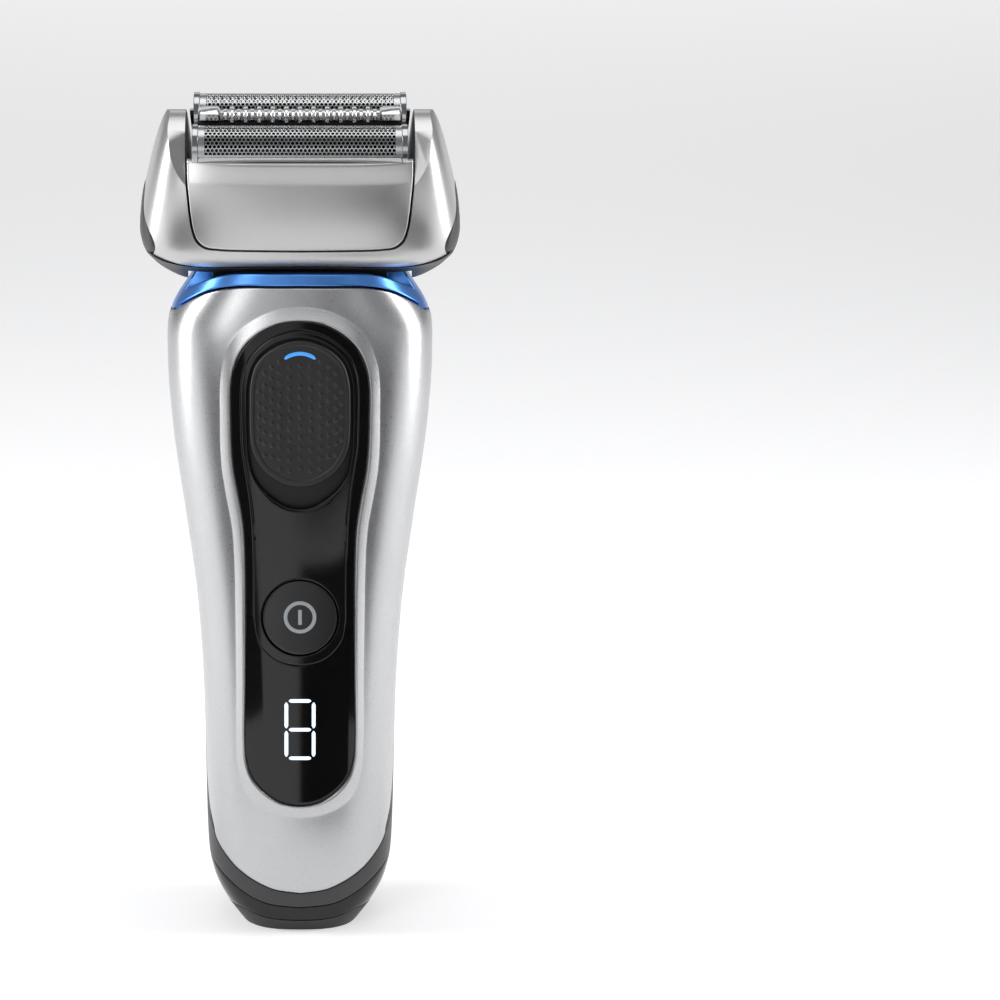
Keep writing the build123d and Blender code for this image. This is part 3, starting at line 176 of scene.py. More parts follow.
# ------------------------------------------------------------------ superellipse-sectioned forms
class Form:
    def __init__(self, table, yc, n, z0, z1, head=False):
        zs = [r[0] for r in table]
        grid = np.arange(z0, z1 + 0.01, 0.25)
        self.grid, self.yc, self.n, self.head = grid, yc, n, head
        self.cols = []
        for c in (1, 2, 3):
            acc = 0
            for k, w in zip(np.linspace(-1, 1, 9), (1, 2, 3, 4, 5, 4, 3, 2, 1)):
                reach = np.clip(np.minimum(grid - z0, z1 - grid) * 0.5, 0.0, 3.2)
                acc = acc + w * pchip(zs, [r[c] for r in table], grid + k * reach)
            self.cols.append(acc / 25.0)
        phi = np.linspace(0, math.pi, 1441)
        self.phi = phi
        rows = []
        for z in grid:
            x, y = self._xy(phi, np.full_like(phi, z), 0.0)
            rows.append(np.concatenate([[0], np.cumsum(np.hypot(np.diff(x), np.diff(y)))]))
        self.arc = np.array(rows)          # arc length by height and angle
        self.total = self.arc[:, -1]

    def dims(self, z):
        return [np.interp(z, self.grid, c) for c in self.cols]

    def _xy(self, phi, z, grow):
        a, f, r = self.dims(z)
        a, f, r = a + grow, f + grow + self.yc, r + grow - self.yc
        s, c = np.sin(phi), np.cos(phi)
        x = a * np.sign(s) * np.abs(s) ** (2 / self.n)
        y = self.yc - np.where(c > 0, f, r) * np.sign(c) * np.abs(c) ** (2 / self.n)
        return x, y

    def world(self, x, y, z):
        x, y, z = np.broadcast_arrays(x, y, z)
        if not self.head:
            return np.stack([x, y, z], -1)
        ct, st = math.cos(TILT), math.sin(TILT)
        return np.stack([PIVOT[0] + x, PIVOT[1] + y * ct - z * st, PIVOT[2] + y * st + z * ct], -1)

    def at_phi(self, phi, z, grow=0.0):
        x, y = self._xy(phi, z, grow)
        return self.world(x, y, z)

    def phi_of_l(self, l, z):
        """Signed arc length from the front centre to angle, at each height."""
        l, z = np.broadcast_arrays(np.asarray(l, float), np.asarray(z, float))
        shape = l.shape
        l, z = l.ravel(), z.ravel()
        zi = np.clip((z - self.grid[0]) / 0.25, 0, len(self.grid) - 1.001)
        i, t = zi.astype(int), zi - zi.astype(int)
        out = np.zeros_like(l)
        for k in np.unique(i):
            m = i == k
            lo = np.interp(np.abs(l[m]), self.arc[k], self.phi)
            hi = np.interp(np.abs(l[m]), self.arc[k + 1], self.phi)
            out[m] = lo * (1 - t[m]) + hi * t[m]
        return (np.sign(l) * out).reshape(shape)

    def at_l(self, l, z, grow=0.0):
        return self.at_phi(self.phi_of_l(l, z), z, grow)

    def l_total(self, z):
        return np.interp(z, self.grid, self.total)

    def l_of_phi(self, phi, z):
        phi, z = np.broadcast_arrays(np.asarray(phi, float), np.asarray(z, float))
        zi = np.clip((z - self.grid[0]) / 0.25, 0, len(self.grid) - 1.001)
        i, t = zi.astype(int), zi - zi.astype(int)
        p = np.abs(phi) / math.pi * 1440
        pi_, pt = np.clip(p.astype(int), 0, 1439), 0
        pt = p - pi_
        row = lambda r: self.arc[r, pi_] * (1 - pt) + self.arc[r, pi_ + 1] * pt
        return np.sign(phi) * (row(i) * (1 - t) + row(i + 1) * t)

    def l_of_x(self, x, z):
        a = self.dims(z)[0]
        s = np.clip(np.abs(x) / a, 0, 1) ** (self.n / 2)
        return np.sign(x) * self.l_of_phi(np.arcsin(s), z)

    def l_of_y(self, y, z):
        """Arc length to the point on the side whose depth is y."""
        a, f, r = self.dims(z)
        f, r = f + self.yc, r - self.yc
        c = np.where(y < self.yc, np.clip((self.yc - y) / f, 0, 1) ** (self.n / 2),
                     -np.clip((y - self.yc) / r, 0, 1) ** (self.n / 2))
        return self.l_of_phi(np.arccos(c), z)

    def at_x(self, x, z, grow=0.0, rear=False):
        a, f, r = self.dims(z)
        a, f, r = a + grow, f + grow + self.yc, r + grow - self.yc
        c = (1 - np.clip(np.abs(x) / a, 0, 1) ** self.n) ** (1 / self.n)
        y = self.yc + r * c if rear else self.yc - f * c
        return self.world(x, y, z)

    def at_side(self, y, z, grow=0.0, side=1):
        a, f, r = self.dims(z)
        a, f, r = a + grow, f + grow + self.yc, r + grow - self.yc
        reach = np.where(y < self.yc, f, r)
        x = a * (1 - np.clip(np.abs(y - self.yc) / reach, 0, 1) ** self.n) ** (1 / self.n)
        return self.world(side * x, y, z)


body = Form(BODY, YC, BODY_N, 0.0, 140.6)
head = Form(HEAD, 0.0, HEAD_N, -1.0, 34.2, head=True)


def head_pt(x, y, h):
    return head.world(np.asarray(x, float), np.asarray(y, float), np.asarray(h, float))


# ------------------------------------------------------------------ mesh makers
def mesh_object(name, verts, faces, sharp=38.0, material=None):
    mesh = bpy.data.meshes.new(name)
    mesh.from_pydata([tuple(v) for v in (np.asarray(verts, float) * MM)], [], faces)
    mesh.validate()
    mesh.update()
    import bmesh
    bm = bmesh.new()
    bm.from_mesh(mesh)
    bmesh.ops.remove_doubles(bm, verts=bm.verts, dist=2e-6)
    bmesh.ops.dissolve_degenerate(bm, dist=1e-7, edges=bm.edges)
    bmesh.ops.recalc_face_normals(bm, faces=bm.faces)
    bm.to_mesh(mesh)
    bm.free()
    for p in mesh.polygons:
        p.use_smooth = True
    mesh.set_sharp_from_angle(angle=math.radians(sharp))
    obj = bpy.data.objects.new(name, mesh)
    bpy.context.scene.collection.objects.link(obj)
    if material:
        mesh.materials.append(material)
    return obj


def tube_mesh(P, closed):
    """P[m, k] points: section k loops round, m runs along and may close."""
    M, K = P.shape[:2]
    verts = P.reshape(-1, 3)
    faces = []
    for m in range(M if closed else M - 1):
        n = (m + 1) % M
        for k in range(K):
            j = (k + 1) % K
            faces.append((m * K + k, m * K + j, n * K + j, n * K + k))
    if not closed:
        half = K // 2
        for m in (0, M - 1):
            for k in range(half - 1):
                a, b = m * K + k, m * K + k + 1
                c, d = m * K + (K - 1 - k - 1), m * K + (K - 1 - k)
                faces.append((a, b, c, d))
    return verts, faces


def shell_strip(name, evalf, A, B, rows, thick, closed=True, **kw):
    """A closed solid between boundary runs A and B, (M, 2) each. rows are
    ("a" | "b" | "f", amount, grow): millimetres from A, from B, or a fraction between."""
    A, B = np.asarray(A, float), np.asarray(B, float)
    gap = np.linalg.norm(B - A, axis=1)
    a_end = max([r[1] for r in rows if r[0] == "a"] + [0.0])
    b_end = max([r[1] for r in rows if r[0] == "b"] + [0.0])
    outer, inner = [], []
    for mode, amount, grow in rows:
        if mode == "a":
            t = amount / gap
        elif mode == "b":
            t = 1 - amount / gap
        else:
            t = (a_end + amount * (gap - a_end - b_end)) / gap
        q = A + (B - A) * t[:, None]
        g = grow(q) if callable(grow) else grow
        outer.append(evalf(q[:, 0], q[:, 1], g))
        inner.append(evalf(q[:, 0], q[:, 1], -thick))
    P = np.stack(outer + inner[::-1], 1)
    v, f = tube_mesh(P, closed)
    return mesh_object(name, v, f, **kw)


def rows_soft(r=0.18, n=20, a=True, b=True, top=0.0):
    out = []
    if a:
        out += [("a", 0.0, top - r), ("a", r * 0.3, top - r * 0.29), ("a", r, top)]
    out += [("f", k / n, top) for k in range(0 if not a else 1, n + (0 if b else 1))]
    if b:
        out += [("b", r, top), ("b", r * 0.3, top - r * 0.29), ("b", 0.0, top - r)]
    return out


def patch(name, evalf, loop, spine, rows, thick, grow_edge=0.18, top=0.0, bump=None, **kw):
    """A filled closed outline: loops shrink from the outline to the spine (M, 2)."""
    loop, spine = np.asarray(loop, float), np.asarray(spine, float)
    M = len(loop)
    gap = np.maximum(np.linalg.norm(spine - loop, axis=1), 1e-6)
    ds = [(0.0, top - grow_edge), (grow_edge * 0.3, top - grow_edge * 0.29), (grow_edge, top)]
    outer = []
    for d, g in ds:
        q = loop + (spine - loop) * (d / gap)[:, None]
        outer.append(evalf(q[:, 0], q[:, 1], g))
    for k in range(1, rows + 1):
        t = (grow_edge + (gap - grow_edge) * k / rows) / gap
        q = loop + (spine - loop) * t[:, None]
        g = top + (bump(q) if bump is not None else 0.0)
        outer.append(evalf(q[:, 0], q[:, 1], g))
    inner = []
    for k in range(0, 7):
        t = k / 6
        q = loop + (spine - loop) * t
        inner.append(evalf(q[:, 0], q[:, 1], -thick))
    P = np.stack(outer[::-1] + inner, 1)        # centre out, over the edge, back to the centre
    Mn, K = P.shape[:2]
    faces = []
    for m in range(Mn):
        n2 = (m + 1) % Mn
        for k in range(K - 1):
            faces.append((m * K + k, m * K + k + 1, n2 * K + k + 1, n2 * K + k))
    return mesh_object(name, P.reshape(-1, 3), faces, **kw)


def sweep_x(name, profile, xs, place=None, **kw):
    """A closed (y, h) profile carried along x in the head's frame."""
    p = np.asarray(profile, float)
    P = np.stack([head_pt(np.full(len(p), x), p[:, 0], p[:, 1]) for x in xs], 0)
    M, K = P.shape[:2]
    verts = P.reshape(-1, 3)
    faces = []
    for m in range(M - 1):
        for k in range(K):
            j = (k + 1) % K
            faces.append((m * K + k, m * K + j, (m + 1) * K + j, (m + 1) * K + k))
    faces.append(tuple(range(K)))
    faces.append(tuple(range((M - 1) * K, M * K)))
    return mesh_object(name, verts, faces, **kw)


def joined(name, objs):
    """One object from several, keeping the first one's material slots in order."""
    mats, verts, faces, idx = [], [], [], []
    for o in objs:
        base = len(verts)
        verts += [tuple(v.co) for v in o.data.vertices]
        mi = []
        for m in o.data.materials:
            if m not in mats:
                mats.append(m)
            mi.append(mats.index(m))
        for p in o.data.polygons:
            faces.append([base + i for i in p.vertices])
            idx.append(mi[p.material_index] if mi else 0)
    sharp = {}
    mesh = bpy.data.meshes.new(name)
    mesh.from_pydata(verts, [], faces)
    mesh.update()
    for p, i in zip(mesh.polygons, idx):
        p.material_index = i
        p.use_smooth = True
    for m in mats:
        mesh.materials.append(m)
    mesh.set_sharp_from_angle(angle=math.radians(38))
    obj = bpy.data.objects.new(name, mesh)
    bpy.context.scene.collection.objects.link(obj)
    for o in objs:
        bpy.data.objects.remove(o)
    return obj


def boxes(name, spec, evalp=head_pt, **kw):
    """Several small bevelled blocks: (x0, x1, y0, y1, h0, h1, bevel)."""
    verts, faces = [], []
    for x0, x1, y0, y1, h0, h1, r in spec:
        r = min(r, (x1 - x0) * 0.45, (y1 - y0) * 0.45, (h1 - h0) * 0.45)
        base = len(verts)
        ring = lambda X0, X1, Y0, Y1, c: [
            (X0 + c, Y0), (X1 - c, Y0), (X1, Y0 + c), (X1, Y1 - c), (X1 - c, Y1), (X0 + c, Y1),
            (X0, Y1 - c), (X0, Y0 + c)]
        levels = [(h0, r), (h0 + r, 0.0), (h1 - r, 0.0), (h1, r)]
        for h, s in levels:
            for x, y in ring(x0 + s, x1 - s, y0 + s, y1 - s, r):
                verts.append(evalp(x, y, h).reshape(3))
        for lv in range(3):
            for k in range(8):
                j = (k + 1) % 8
                faces.append((base + lv * 8 + k, base + lv * 8 + j, base + (lv + 1) * 8 + j,
                              base + (lv + 1) * 8 + k))
        faces.append(tuple(base + k for k in range(8)))
        faces.append(tuple(base + 24 + k for k in range(8)))
    return mesh_object(name, verts, faces, **kw)


# ------------------------------------------------------------------ materials
def material(name, color, rough=0.4, metal=0.0, grain=0.0, grain_scale=2500.0, stretch=(1, 1, 1),
             tint=0.0, tint_scale=60.0, rough_var=0.0, coat=0.0, coat_rough=0.05, emit=None,
             emit_strength=0.0, spec=0.5, wear=0.0):
    m = bpy.data.materials.new(name)
    m.use_nodes = True
    nt = m.node_tree
    b = nt.nodes["Principled BSDF"]
    b.inputs["Base Color"].default_value = (*color, 1)
    b.inputs["Metallic"].default_value = metal
    b.inputs["Roughness"].default_value = rough
    b.inputs["Coat Weight"].default_value = coat
    b.inputs["Coat Roughness"].default_value = coat_rough
    b.inputs["Specular IOR Level"].default_value = spec
    if emit:
        b.inputs["Emission Color"].default_value = (*emit, 1)
        b.inputs["Emission Strength"].default_value = emit_strength
    tex = nt.nodes.new("ShaderNodeTexCoord")
    mp = nt.nodes.new("ShaderNodeMapping")
    mp.inputs["Scale"].default_value = stretch
    nt.links.new(tex.outputs["Object"], mp.inputs["Vector"])
    n1 = nt.nodes.new("ShaderNodeTexNoise")
    n1.inputs["Scale"].default_value = tint_scale
    n1.inputs["Detail"].default_value = 4
    nt.links.new(mp.outputs["Vector"], n1.inputs["Vector"])
    ramp = nt.nodes.new("ShaderNodeMixRGB")
    lo = [max(0.0, c * (1 - tint)) for c in color]
    hi = [min(1.0, c * (1 + tint)) for c in color]
    ramp.inputs["Color1"].default_value = (*lo, 1)
    ramp.inputs["Color2"].default_value = (*hi, 1)
    nt.links.new(n1.outputs["Fac"], ramp.inputs["Fac"])
    nt.links.new(ramp.outputs["Color"], b.inputs["Base Color"])
    if rough_var:
        mr = nt.nodes.new("ShaderNodeMapRange")
        mr.inputs["To Min"].default_value = max(0.02, rough - rough_var)
        mr.inputs["To Max"].default_value = rough + rough_var
        n2 = nt.nodes.new("ShaderNodeTexNoise")
        n2.inputs["Scale"].default_value = grain_scale * 0.4
        nt.links.new(mp.outputs["Vector"], n2.inputs["Vector"])
        nt.links.new(n2.outputs["Fac"], mr.inputs["Value"])
        nt.links.new(mr.outputs["Result"], b.inputs["Roughness"])
    if grain:
        n3 = nt.nodes.new("ShaderNodeTexNoise")
        n3.inputs["Scale"].default_value = grain_scale
        n3.inputs["Detail"].default_value = 3
        nt.links.new(mp.outputs["Vector"], n3.inputs["Vector"])
        bump = nt.nodes.new("ShaderNodeBump")
        bump.inputs["Strength"].default_value = grain
        bump.inputs["Distance"].default_value = 0.00005
        nt.links.new(n3.outputs["Fac"], bump.inputs["Height"])
        nt.links.new(bump.outputs["Normal"], b.inputs["Normal"])
    return m


SILVER = material("silver_satin", (0.50, 0.503, 0.51), 0.29, 0.92, grain=0.25, grain_scale=9000,
                  tint=0.05, tint_scale=4000, rough_var=0.05)
# Head copy of the satin silver: its base colour is lighter than the handle's, painted light so the
# head reads brighter.
SILVER_HEAD_PAINTED_LIGHT = material("silver_head_painted_light", (0.54, 0.54, 0.538), 0.31, 0.88, grain=0.22,
                       grain_scale=9000, tint=0.04, tint_scale=4000, rough_var=0.05)
RIDGE_MAT = SILVER
BLUE = material("blue_anodised", (0.10, 0.30, 0.78), 0.30, 0.85, grain=0.15, grain_scale=8000,
                tint=0.06, tint_scale=900, rough_var=0.05)
GLOSS = material("gloss_black", (0.003, 0.003, 0.0033), 0.08, 0.0, tint=0.3, tint_scale=300,
                 rough_var=0.02, spec=0.42)
GLOSS_SOFT = material("gloss_black_soft", (0.004, 0.004, 0.0044), 0.12, 0.0, tint=0.3,
                      tint_scale=300, rough_var=0.03, spec=0.45)
MATT = material("matt_black", (0.018, 0.018, 0.02), 0.48, 0.0, grain=0.6, grain_scale=5000,
                tint=0.2, tint_scale=2000, rough_var=0.06)
BAND = material("band_grey", (0.030, 0.030, 0.032), 0.45, 0.0, grain=0.5, grain_scale=6000,
                tint=0.15, tint_scale=2500, rough_var=0.05)
RUBBER = material("pad_rubber", (0.010, 0.010, 0.0112), 0.42, 0.0, grain=0.5, grain_scale=5000,
                  tint=0.2, tint_scale=1800, rough_var=0.06)
GROOVE = material("groove_black", (0.004, 0.004, 0.004), 0.6, 0.0, tint=0.3, tint_scale=900)
BUTTON = material("button_satin", (0.014, 0.014, 0.0155), 0.34, 0.0, grain=0.2,
                  grain_scale=7000, tint=0.15, tint_scale=2000, rough_var=0.05)
PRINT = material("print_grey", (0.30, 0.32, 0.33), 0.45, 0.0, tint=0.1, tint_scale=3000)
# Blue print for the lock mark; the emission on it is a painted glow, the print is no lamp.
PRINT_BLUE_PAINTED_GLOW = material("print_blue_painted_glow", (0.06, 0.33, 0.85), 0.4, 0.0, tint=0.1, tint_scale=3000,
                      emit=(0.06, 0.33, 0.85), emit_strength=0.25)
GLOW = material("digit_glow", (0.8, 0.9, 1.0), 0.5, 0.0, tint=0.03, tint_scale=900,
                emit=(0.60, 0.80, 1.0), emit_strength=0.72)
CHROME = material("chrome", (0.42, 0.43, 0.44), 0.16, 1.0, tint=0.03, tint_scale=500,
                  rough_var=0.03)
STEEL = material("steel_brushed", (0.55, 0.555, 0.56), 0.28, 1.0, grain=0.2, grain_scale=2000,
                 stretch=(1, 12, 12), tint=0.06, tint_scale=1500, rough_var=0.06)
GUARD = material("guard_steel", (0.70, 0.70, 0.71), 0.22, 1.0, tint=0.04, tint_scale=1200,
                 rough_var=0.04)
FOIL = material("foil_steel", (0.48, 0.485, 0.49), 0.27, 1.0, tint=0.05, tint_scale=1500,
                rough_var=0.05)
# Cutter blocks are steel; their near-black base colour is painted shade for the shadow they sit in
# under the foils.
CUTTER_PAINTED_SHADE = material("cutter_steel_painted_shade", (0.05, 0.05, 0.052), 0.45, 0.8, grain=0.3,
                  grain_scale=2500, tint=0.15, tint_scale=1500, rough_var=0.05)
DARKP = material("dark_plastic", (0.012, 0.012, 0.013), 0.4, 0.0, grain=0.3, grain_scale=4000,
                 tint=0.2, tint_scale=2000, rough_var=0.05)
BRASS = material("brass_contacts", (0.75, 0.55, 0.22), 0.25, 1.0, tint=0.08, tint_scale=1500,
                 rough_var=0.06)
BOARD = material("board_green", (0.01, 0.12, 0.05), 0.4, 0.0, tint=0.3, tint_scale=1500,
                 rough_var=0.05)
COPPER = material("copper_wire", (0.55, 0.22, 0.09), 0.3, 0.9, grain=0.8, grain_scale=3000,
                  stretch=(1, 1, 10), tint=0.1, tint_scale=2000)
SLEEVE = material("battery_sleeve", (0.05, 0.22, 0.12), 0.35, 0.0, tint=0.15, tint_scale=500,
                  rough_var=0.05)


def put(obj, body_name, replaces=()):
    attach(obj, body_name)
    if replaces:
        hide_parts(*replaces)
    return obj


# ------------------------------------------------------------------ front shell with its ridge
def split_l(z):
    y = pchip([p[0] for p in SPLIT], [p[1] for p in SPLIT], z)
    return body.l_of_y(y, z)


def corner(edge, shift=0.0):
    """Where an edge line meets the side line between the shells: (l, z)."""
    z = 100.0 if edge[0][1] > 100 else 20.0
    for _ in range(60):
        l = split_l(np.array(z))
        x = abs(body.at_l(l, np.array(z))[..., 0])
        z = 0.5 * z + 0.5 * float(fz(edge, x) + shift)
    return float(split_l(np.array(z))), z


def edge_run(edge, l0, l1, count, shift=0.0):
    """Points (l, z) along an edge line from arc length l0 to l1 of its own."""
    out = []
    frac = np.linspace(0, 1, count)
    for t in frac:
        l = l0 + (l1 - l0) * t
        z = float(edge[0][1])
        for _ in range(50):
            x = abs(body.at_l(np.array(l), np.array(z))[..., 0])
            z = 0.5 * z + 0.5 * float(fz(edge, x) + shift)
        out.append((l, z))
    return np.array(out)


lt, zt = corner(ARCH_SHELL, -0.35)
lb, zb = corner(SILVER_EDGE, 0.12)
TOPN, SIDEN, BOTN = 46, 150, 40
inner_half = half_resampled(FASCIA, 1400)
ridge_half = half_resampled(RIDGE, 1400)


def station(curve, z_top=None, z_bot=None, t0=0.0, t1=1.0, count=10):
    idx = np.linspace(t0, t1, count) * (len(curve) - 1)
    return np.stack([np.interp(idx, np.arange(len(curve)), curve[:, 0]),
                     np.interp(idx, np.arange(len(curve)), curve[:, 1])], 1)


# fractions along the inner outline where the top and bottom rounds begin
f_top = float(np.argmin(np.abs(inner_half[:700, 1] - 121.5))) / 1399
f_bot = float(700 + np.argmin(np.abs(inner_half[700:, 1] - 35.5))) / 1399
A_half = np.vstack([station(inner_half, t0=0, t1=f_top, count=TOPN)[:-1],
                    station(inner_half, t0=f_top, t1=f_bot, count=SIDEN)[:-1],
                    station(inner_half, t0=f_bot, t1=1, count=BOTN)])
top_run = edge_run(ARCH_SHELL, 0.0, lt, TOPN, -0.35)
side_z = np.linspace(zt, zb, SIDEN)
side_run = np.stack([split_l(side_z), side_z], 1)
bot_run = edge_run(SILVER_EDGE, lb, 0.0, BOTN, 0.12)
B_half = np.vstack([top_run[:-1], side_run[:-1], bot_run])
A_l = A_half.copy()
A_l[:, 0] = body.l_of_x(A_half[:, 0], A_half[:, 1])
# width of the ridge at every station, from the ridge's own outline
ridge_w = np.array([np.min(np.hypot(ridge_half[:, 0] - x, ridge_half[:, 1] - z))
                    for x, z in A_half])
ridge_w = np.convolve(np.pad(ridge_w, 6, mode="edge"), np.ones(13) / 13, mode="valid")


def mirror_loop(H):
    return np.vstack([H, (H * [-1, 1])[-2:0:-1]])


A_loop, B_loop = mirror_loop(A_l), mirror_loop(B_half)
W_loop = np.concatenate([ridge_w, ridge_w[-2:0:-1]])
# normals of the inner outline so that the ridge keeps its width square to the outline
tan = np.roll(A_loop, -1, 0) - np.roll(A_loop, 1, 0)
nrm = np.stack([tan[:, 1], -tan[:, 0]], 1)
nrm /= np.linalg.norm(nrm, axis=1)[:, None]
cen = A_loop - np.array([0, 78.0])
nrm *= np.sign(np.sum(nrm * (B_loop - A_loop), axis=1))[:, None]
foot_loop = A_loop + nrm * W_loop[:, None]


def front_shell():
    prof = [(0.0, -0.45), (0.01, 0.24), (0.035, 0.44), (0.08, 0.53), (0.14, 0.53), (0.20, 0.505),
            (0.55, 0.31), (0.90, 0.09), (0.965, 0.045), (1.0, 0.02), (1.035, 0.008),
            (1.10, 0.0)]
    outer, inner = [], []
    for t, g in prof:
        q = A_loop + (foot_loop - A_loop) * t
        outer.append(body.at_l(q[:, 0], q[:, 1], g))
        inner.append(body.at_l(q[:, 0], q[:, 1], -1.6))
    q0 = A_loop + (foot_loop - A_loop) * 1.10
    gap = np.linalg.norm(B_loop - q0, axis=1)
    for k in range(1, 27):
        t = k / 26 * (1 - 0.25 / gap)
        q = q0 + (B_loop - q0) * t[:, None]
        g = 0.0
        outer.append(body.at_l(q[:, 0], q[:, 1], g))
        inner.append(body.at_l(q[:, 0], q[:, 1], -1.6))
    for d, g in ((0.08, -0.06), (0.0, -0.22)):
        q = q0 + (B_loop - q0) * (1 - d / gap)[:, None]
        outer.append(body.at_l(q[:, 0], q[:, 1], g))
        inner.append(body.at_l(q[:, 0], q[:, 1], -1.6))
    P = np.stack(outer + inner[::-1], 1)
    v, f = tube_mesh(P, True)
    return mesh_object("front_shell_silver", v, f, material=SILVER)


put(front_shell(), "handle", ("front_shell",))

# ------------------------------------------------------------------ fascia, window, control panel
front_xz = lambda x, z, g: body.at_x(x, z, g)
fas = half_resampled(FASCIA, 1600)
pan = half_resampled(PANEL, 1600)


def upto(curve, zcut, count, top=True):
    i = int(np.argmin(np.abs(curve[:, 1] - zcut)))
    seg = curve[:i + 1] if top else curve[i:]
    seg = seg.copy()
    seg[-1 if top else 0, 1] = zcut
    idx = np.linspace(0, len(seg) - 1, count)
    return np.stack([np.interp(idx, np.arange(len(seg)), seg[:, 0]),
                     np.interp(idx, np.arange(len(seg)), seg[:, 1])], 1)


def open_mirror(H, top=True):
    """Left end, over the centre, to the right end."""
    if top:
        return np.vstack([(H * [-1, 1])[::-1][:-1], H])
    return np.vstack([H, (H * [-1, 1])[::-1][1:]])


rimA, rimB = open_mirror(upto(pan, 68.1, 150)), open_mirror(upto(fas, 68.1, 150))
rimB[:, 0] *= 1 - 0.06 / np.maximum(np.abs(rimB[:, 0]), 6)
rim = shell_strip("fascia_rim_gloss", front_xz, rimA, rimB, rows_soft(0.14, 8, top=-0.02), 1.5,
                  closed=False, material=GLOSS)
put(rim, "handle", ("fascia_rim",))
winA, winB = open_mirror(upto(pan, 68.0, 140, False), False), open_mirror(
    upto(fas, 68.0, 140, False), False)
winB[:, 0] *= 1 - 0.06 / np.maximum(np.abs(winB[:, 0]), 6)
win = shell_strip("display_window_gloss", front_xz, winA, winB, rows_soft(0.14, 40, top=-0.02),
                  1.5, closed=False, material=GLOSS)
put(win, "handle", ("display_window",))

rec_loop = half_to_loop(RECESS, 300)


def panel_upper():
    zc = 84.0
    top = open_mirror(upto(pan, zc, 110))
    base = np.stack([np.linspace(top[-1, 0], -top[-1, 0], 82)[1:-1], np.full(80, zc)], 1)
    loop = np.vstack([top, base])                       # left end, over the top, back along z
    M = len(loop)
    # match by angle round the recess centre
    c = np.array([0.0, 106.0])
    ang = lambda P: np.unwrap(np.arctan2(P[:, 1] - c[1], P[:, 0] - c[0]))
    a1 = ang(loop)
    dense = half_to_loop(RECESS, 3000)
    a2 = np.arctan2(dense[:, 1] - c[1], dense[:, 0] - c[0])
    order = np.argsort(a2)
    a2s, ds = a2[order], dense[order]
    aw = (a1 + math.pi) % (2 * math.pi) - math.pi
    inner = np.stack([np.interp(aw, a2s, ds[:, 0], period=2 * math.pi),
                      np.interp(aw, a2s, ds[:, 1], period=2 * math.pi)], 1)
    return loop, inner, M


loop, inner, M = panel_upper()
n_top = M - 80


def panel_rows(lo, hi, n):
    return [("a", 0.0, lo)] + [("a", 0.05, lo + 0.12), ("a", 0.16, hi)] + [
        ("f", k / n, hi) for k in range(1, n)]


def two_sided(name, outer_loop, inner_loop, n, straight, top, **kw):
    """Annulus with a rounded outer edge except along the straight part, where it joins."""
    gap = np.linalg.norm(inner_loop - outer_loop, axis=1)
    soft = np.ones(len(outer_loop))
    soft[straight] = 0.0
    outer, inn = [], []
    for d, drop in ((0.0, 0.20), (0.06, 0.06), (0.2, 0.0)):
        q = outer_loop + (inner_loop - outer_loop) * (d * soft / gap)[:, None]
        outer.append(body.at_x(q[:, 0], q[:, 1], top - drop * soft))
        inn.append(body.at_x(q[:, 0], q[:, 1], -1.5))
    for k in range(1, n + 1):
        t = (0.2 * soft + (gap - 0.2 * soft - 0.12) * k / n) / gap
        q = outer_loop + (inner_loop - outer_loop) * t[:, None]
        outer.append(body.at_x(q[:, 0], q[:, 1], top))
        inn.append(body.at_x(q[:, 0], q[:, 1], -1.5))
    for d, drop in ((0.03, 0.05), (0.0, 0.16), (0.0, 1.2)):
        q = outer_loop + (inner_loop - outer_loop) * (1 - d / gap)[:, None]
        outer.append(body.at_x(q[:, 0], q[:, 1], top - drop))
        inn.append(body.at_x(q[:, 0], q[:, 1], -1.5))
    P = np.stack(outer + inn[::-1], 1)
    v, f = tube_mesh(P, True)
    return mesh_object(name, v, f, **kw)


up = two_sided("panel_up", loop, inner, 10, slice(n_top - 1, M), 0.22, material=GLOSS_SOFT)
low_run = open_mirror(upto(pan, 84.0, 120, False), False)       # right end, bottom, left end
base = np.stack([np.linspace(low_run[-1, 0], low_run[0, 0], 82)[1:-1], np.full(80, 84.0)], 1)
lowloop = np.vstack([low_run, base])
c0 = np.array([0.0, BTN_Z])
ang = np.arctan2(lowloop[:, 1] - c0[1], lowloop[:, 0] - c0[0])
hole = c0 + (BTN_R + 0.32) * np.stack([np.cos(ang), np.sin(ang)], 1)
hole[:, 1] = c0[1] + (hole[:, 1] - c0[1]) * 1.045 - 0.12
lo = two_sided("panel_low", lowloop, hole, 26, slice(len(low_run) - 1, len(lowloop)), 0.22,
               material=GLOSS_SOFT)
floor_patch = patch("panel_floor", lambda x, z, g: body.at_x(x, z, g), half_to_loop(RECESS, 240),
                    np.tile([0, 107.0], (240, 1)), 20, 1.45, grow_edge=0.02, top=-1.0,
                    material=GROOVE)
btn_floor = patch("button_floor", lambda x, z, g: body.at_x(x, z, g),
                  c0 + 7.85 * np.stack([np.cos(np.linspace(0, 2 * np.pi, 120, endpoint=False)),
                                       np.sin(np.linspace(0, 2 * np.pi, 120, endpoint=False))],
                                      1),
                  np.tile(c0, (120, 1)), 10, 2.35, grow_edge=0.02, top=-2.0, material=GROOVE)
panel_obj = joined("control_panel_gloss", [up, lo, floor_patch, btn_floor])
put(panel_obj, "handle", ("control_panel",))

# ------------------------------------------------------------------ lock pad with its dimples
dots = []
for x, shift in ((0.0, 0.0), (2.05, -0.35), (3.95, 0.75), (5.5, -0.35), (6.9, 0.75),
                 (8.0, -0.35)):
    for j in range(0, 14):
        z = 119.75 + shift - j * 2.06 - 0.006 * x * x * j
        dots += [(x, z)] if x == 0 else [(x, z), (-x, z)]
dots = np.array(dots)
face_dense = half_to_loop(PADFACE, 400)


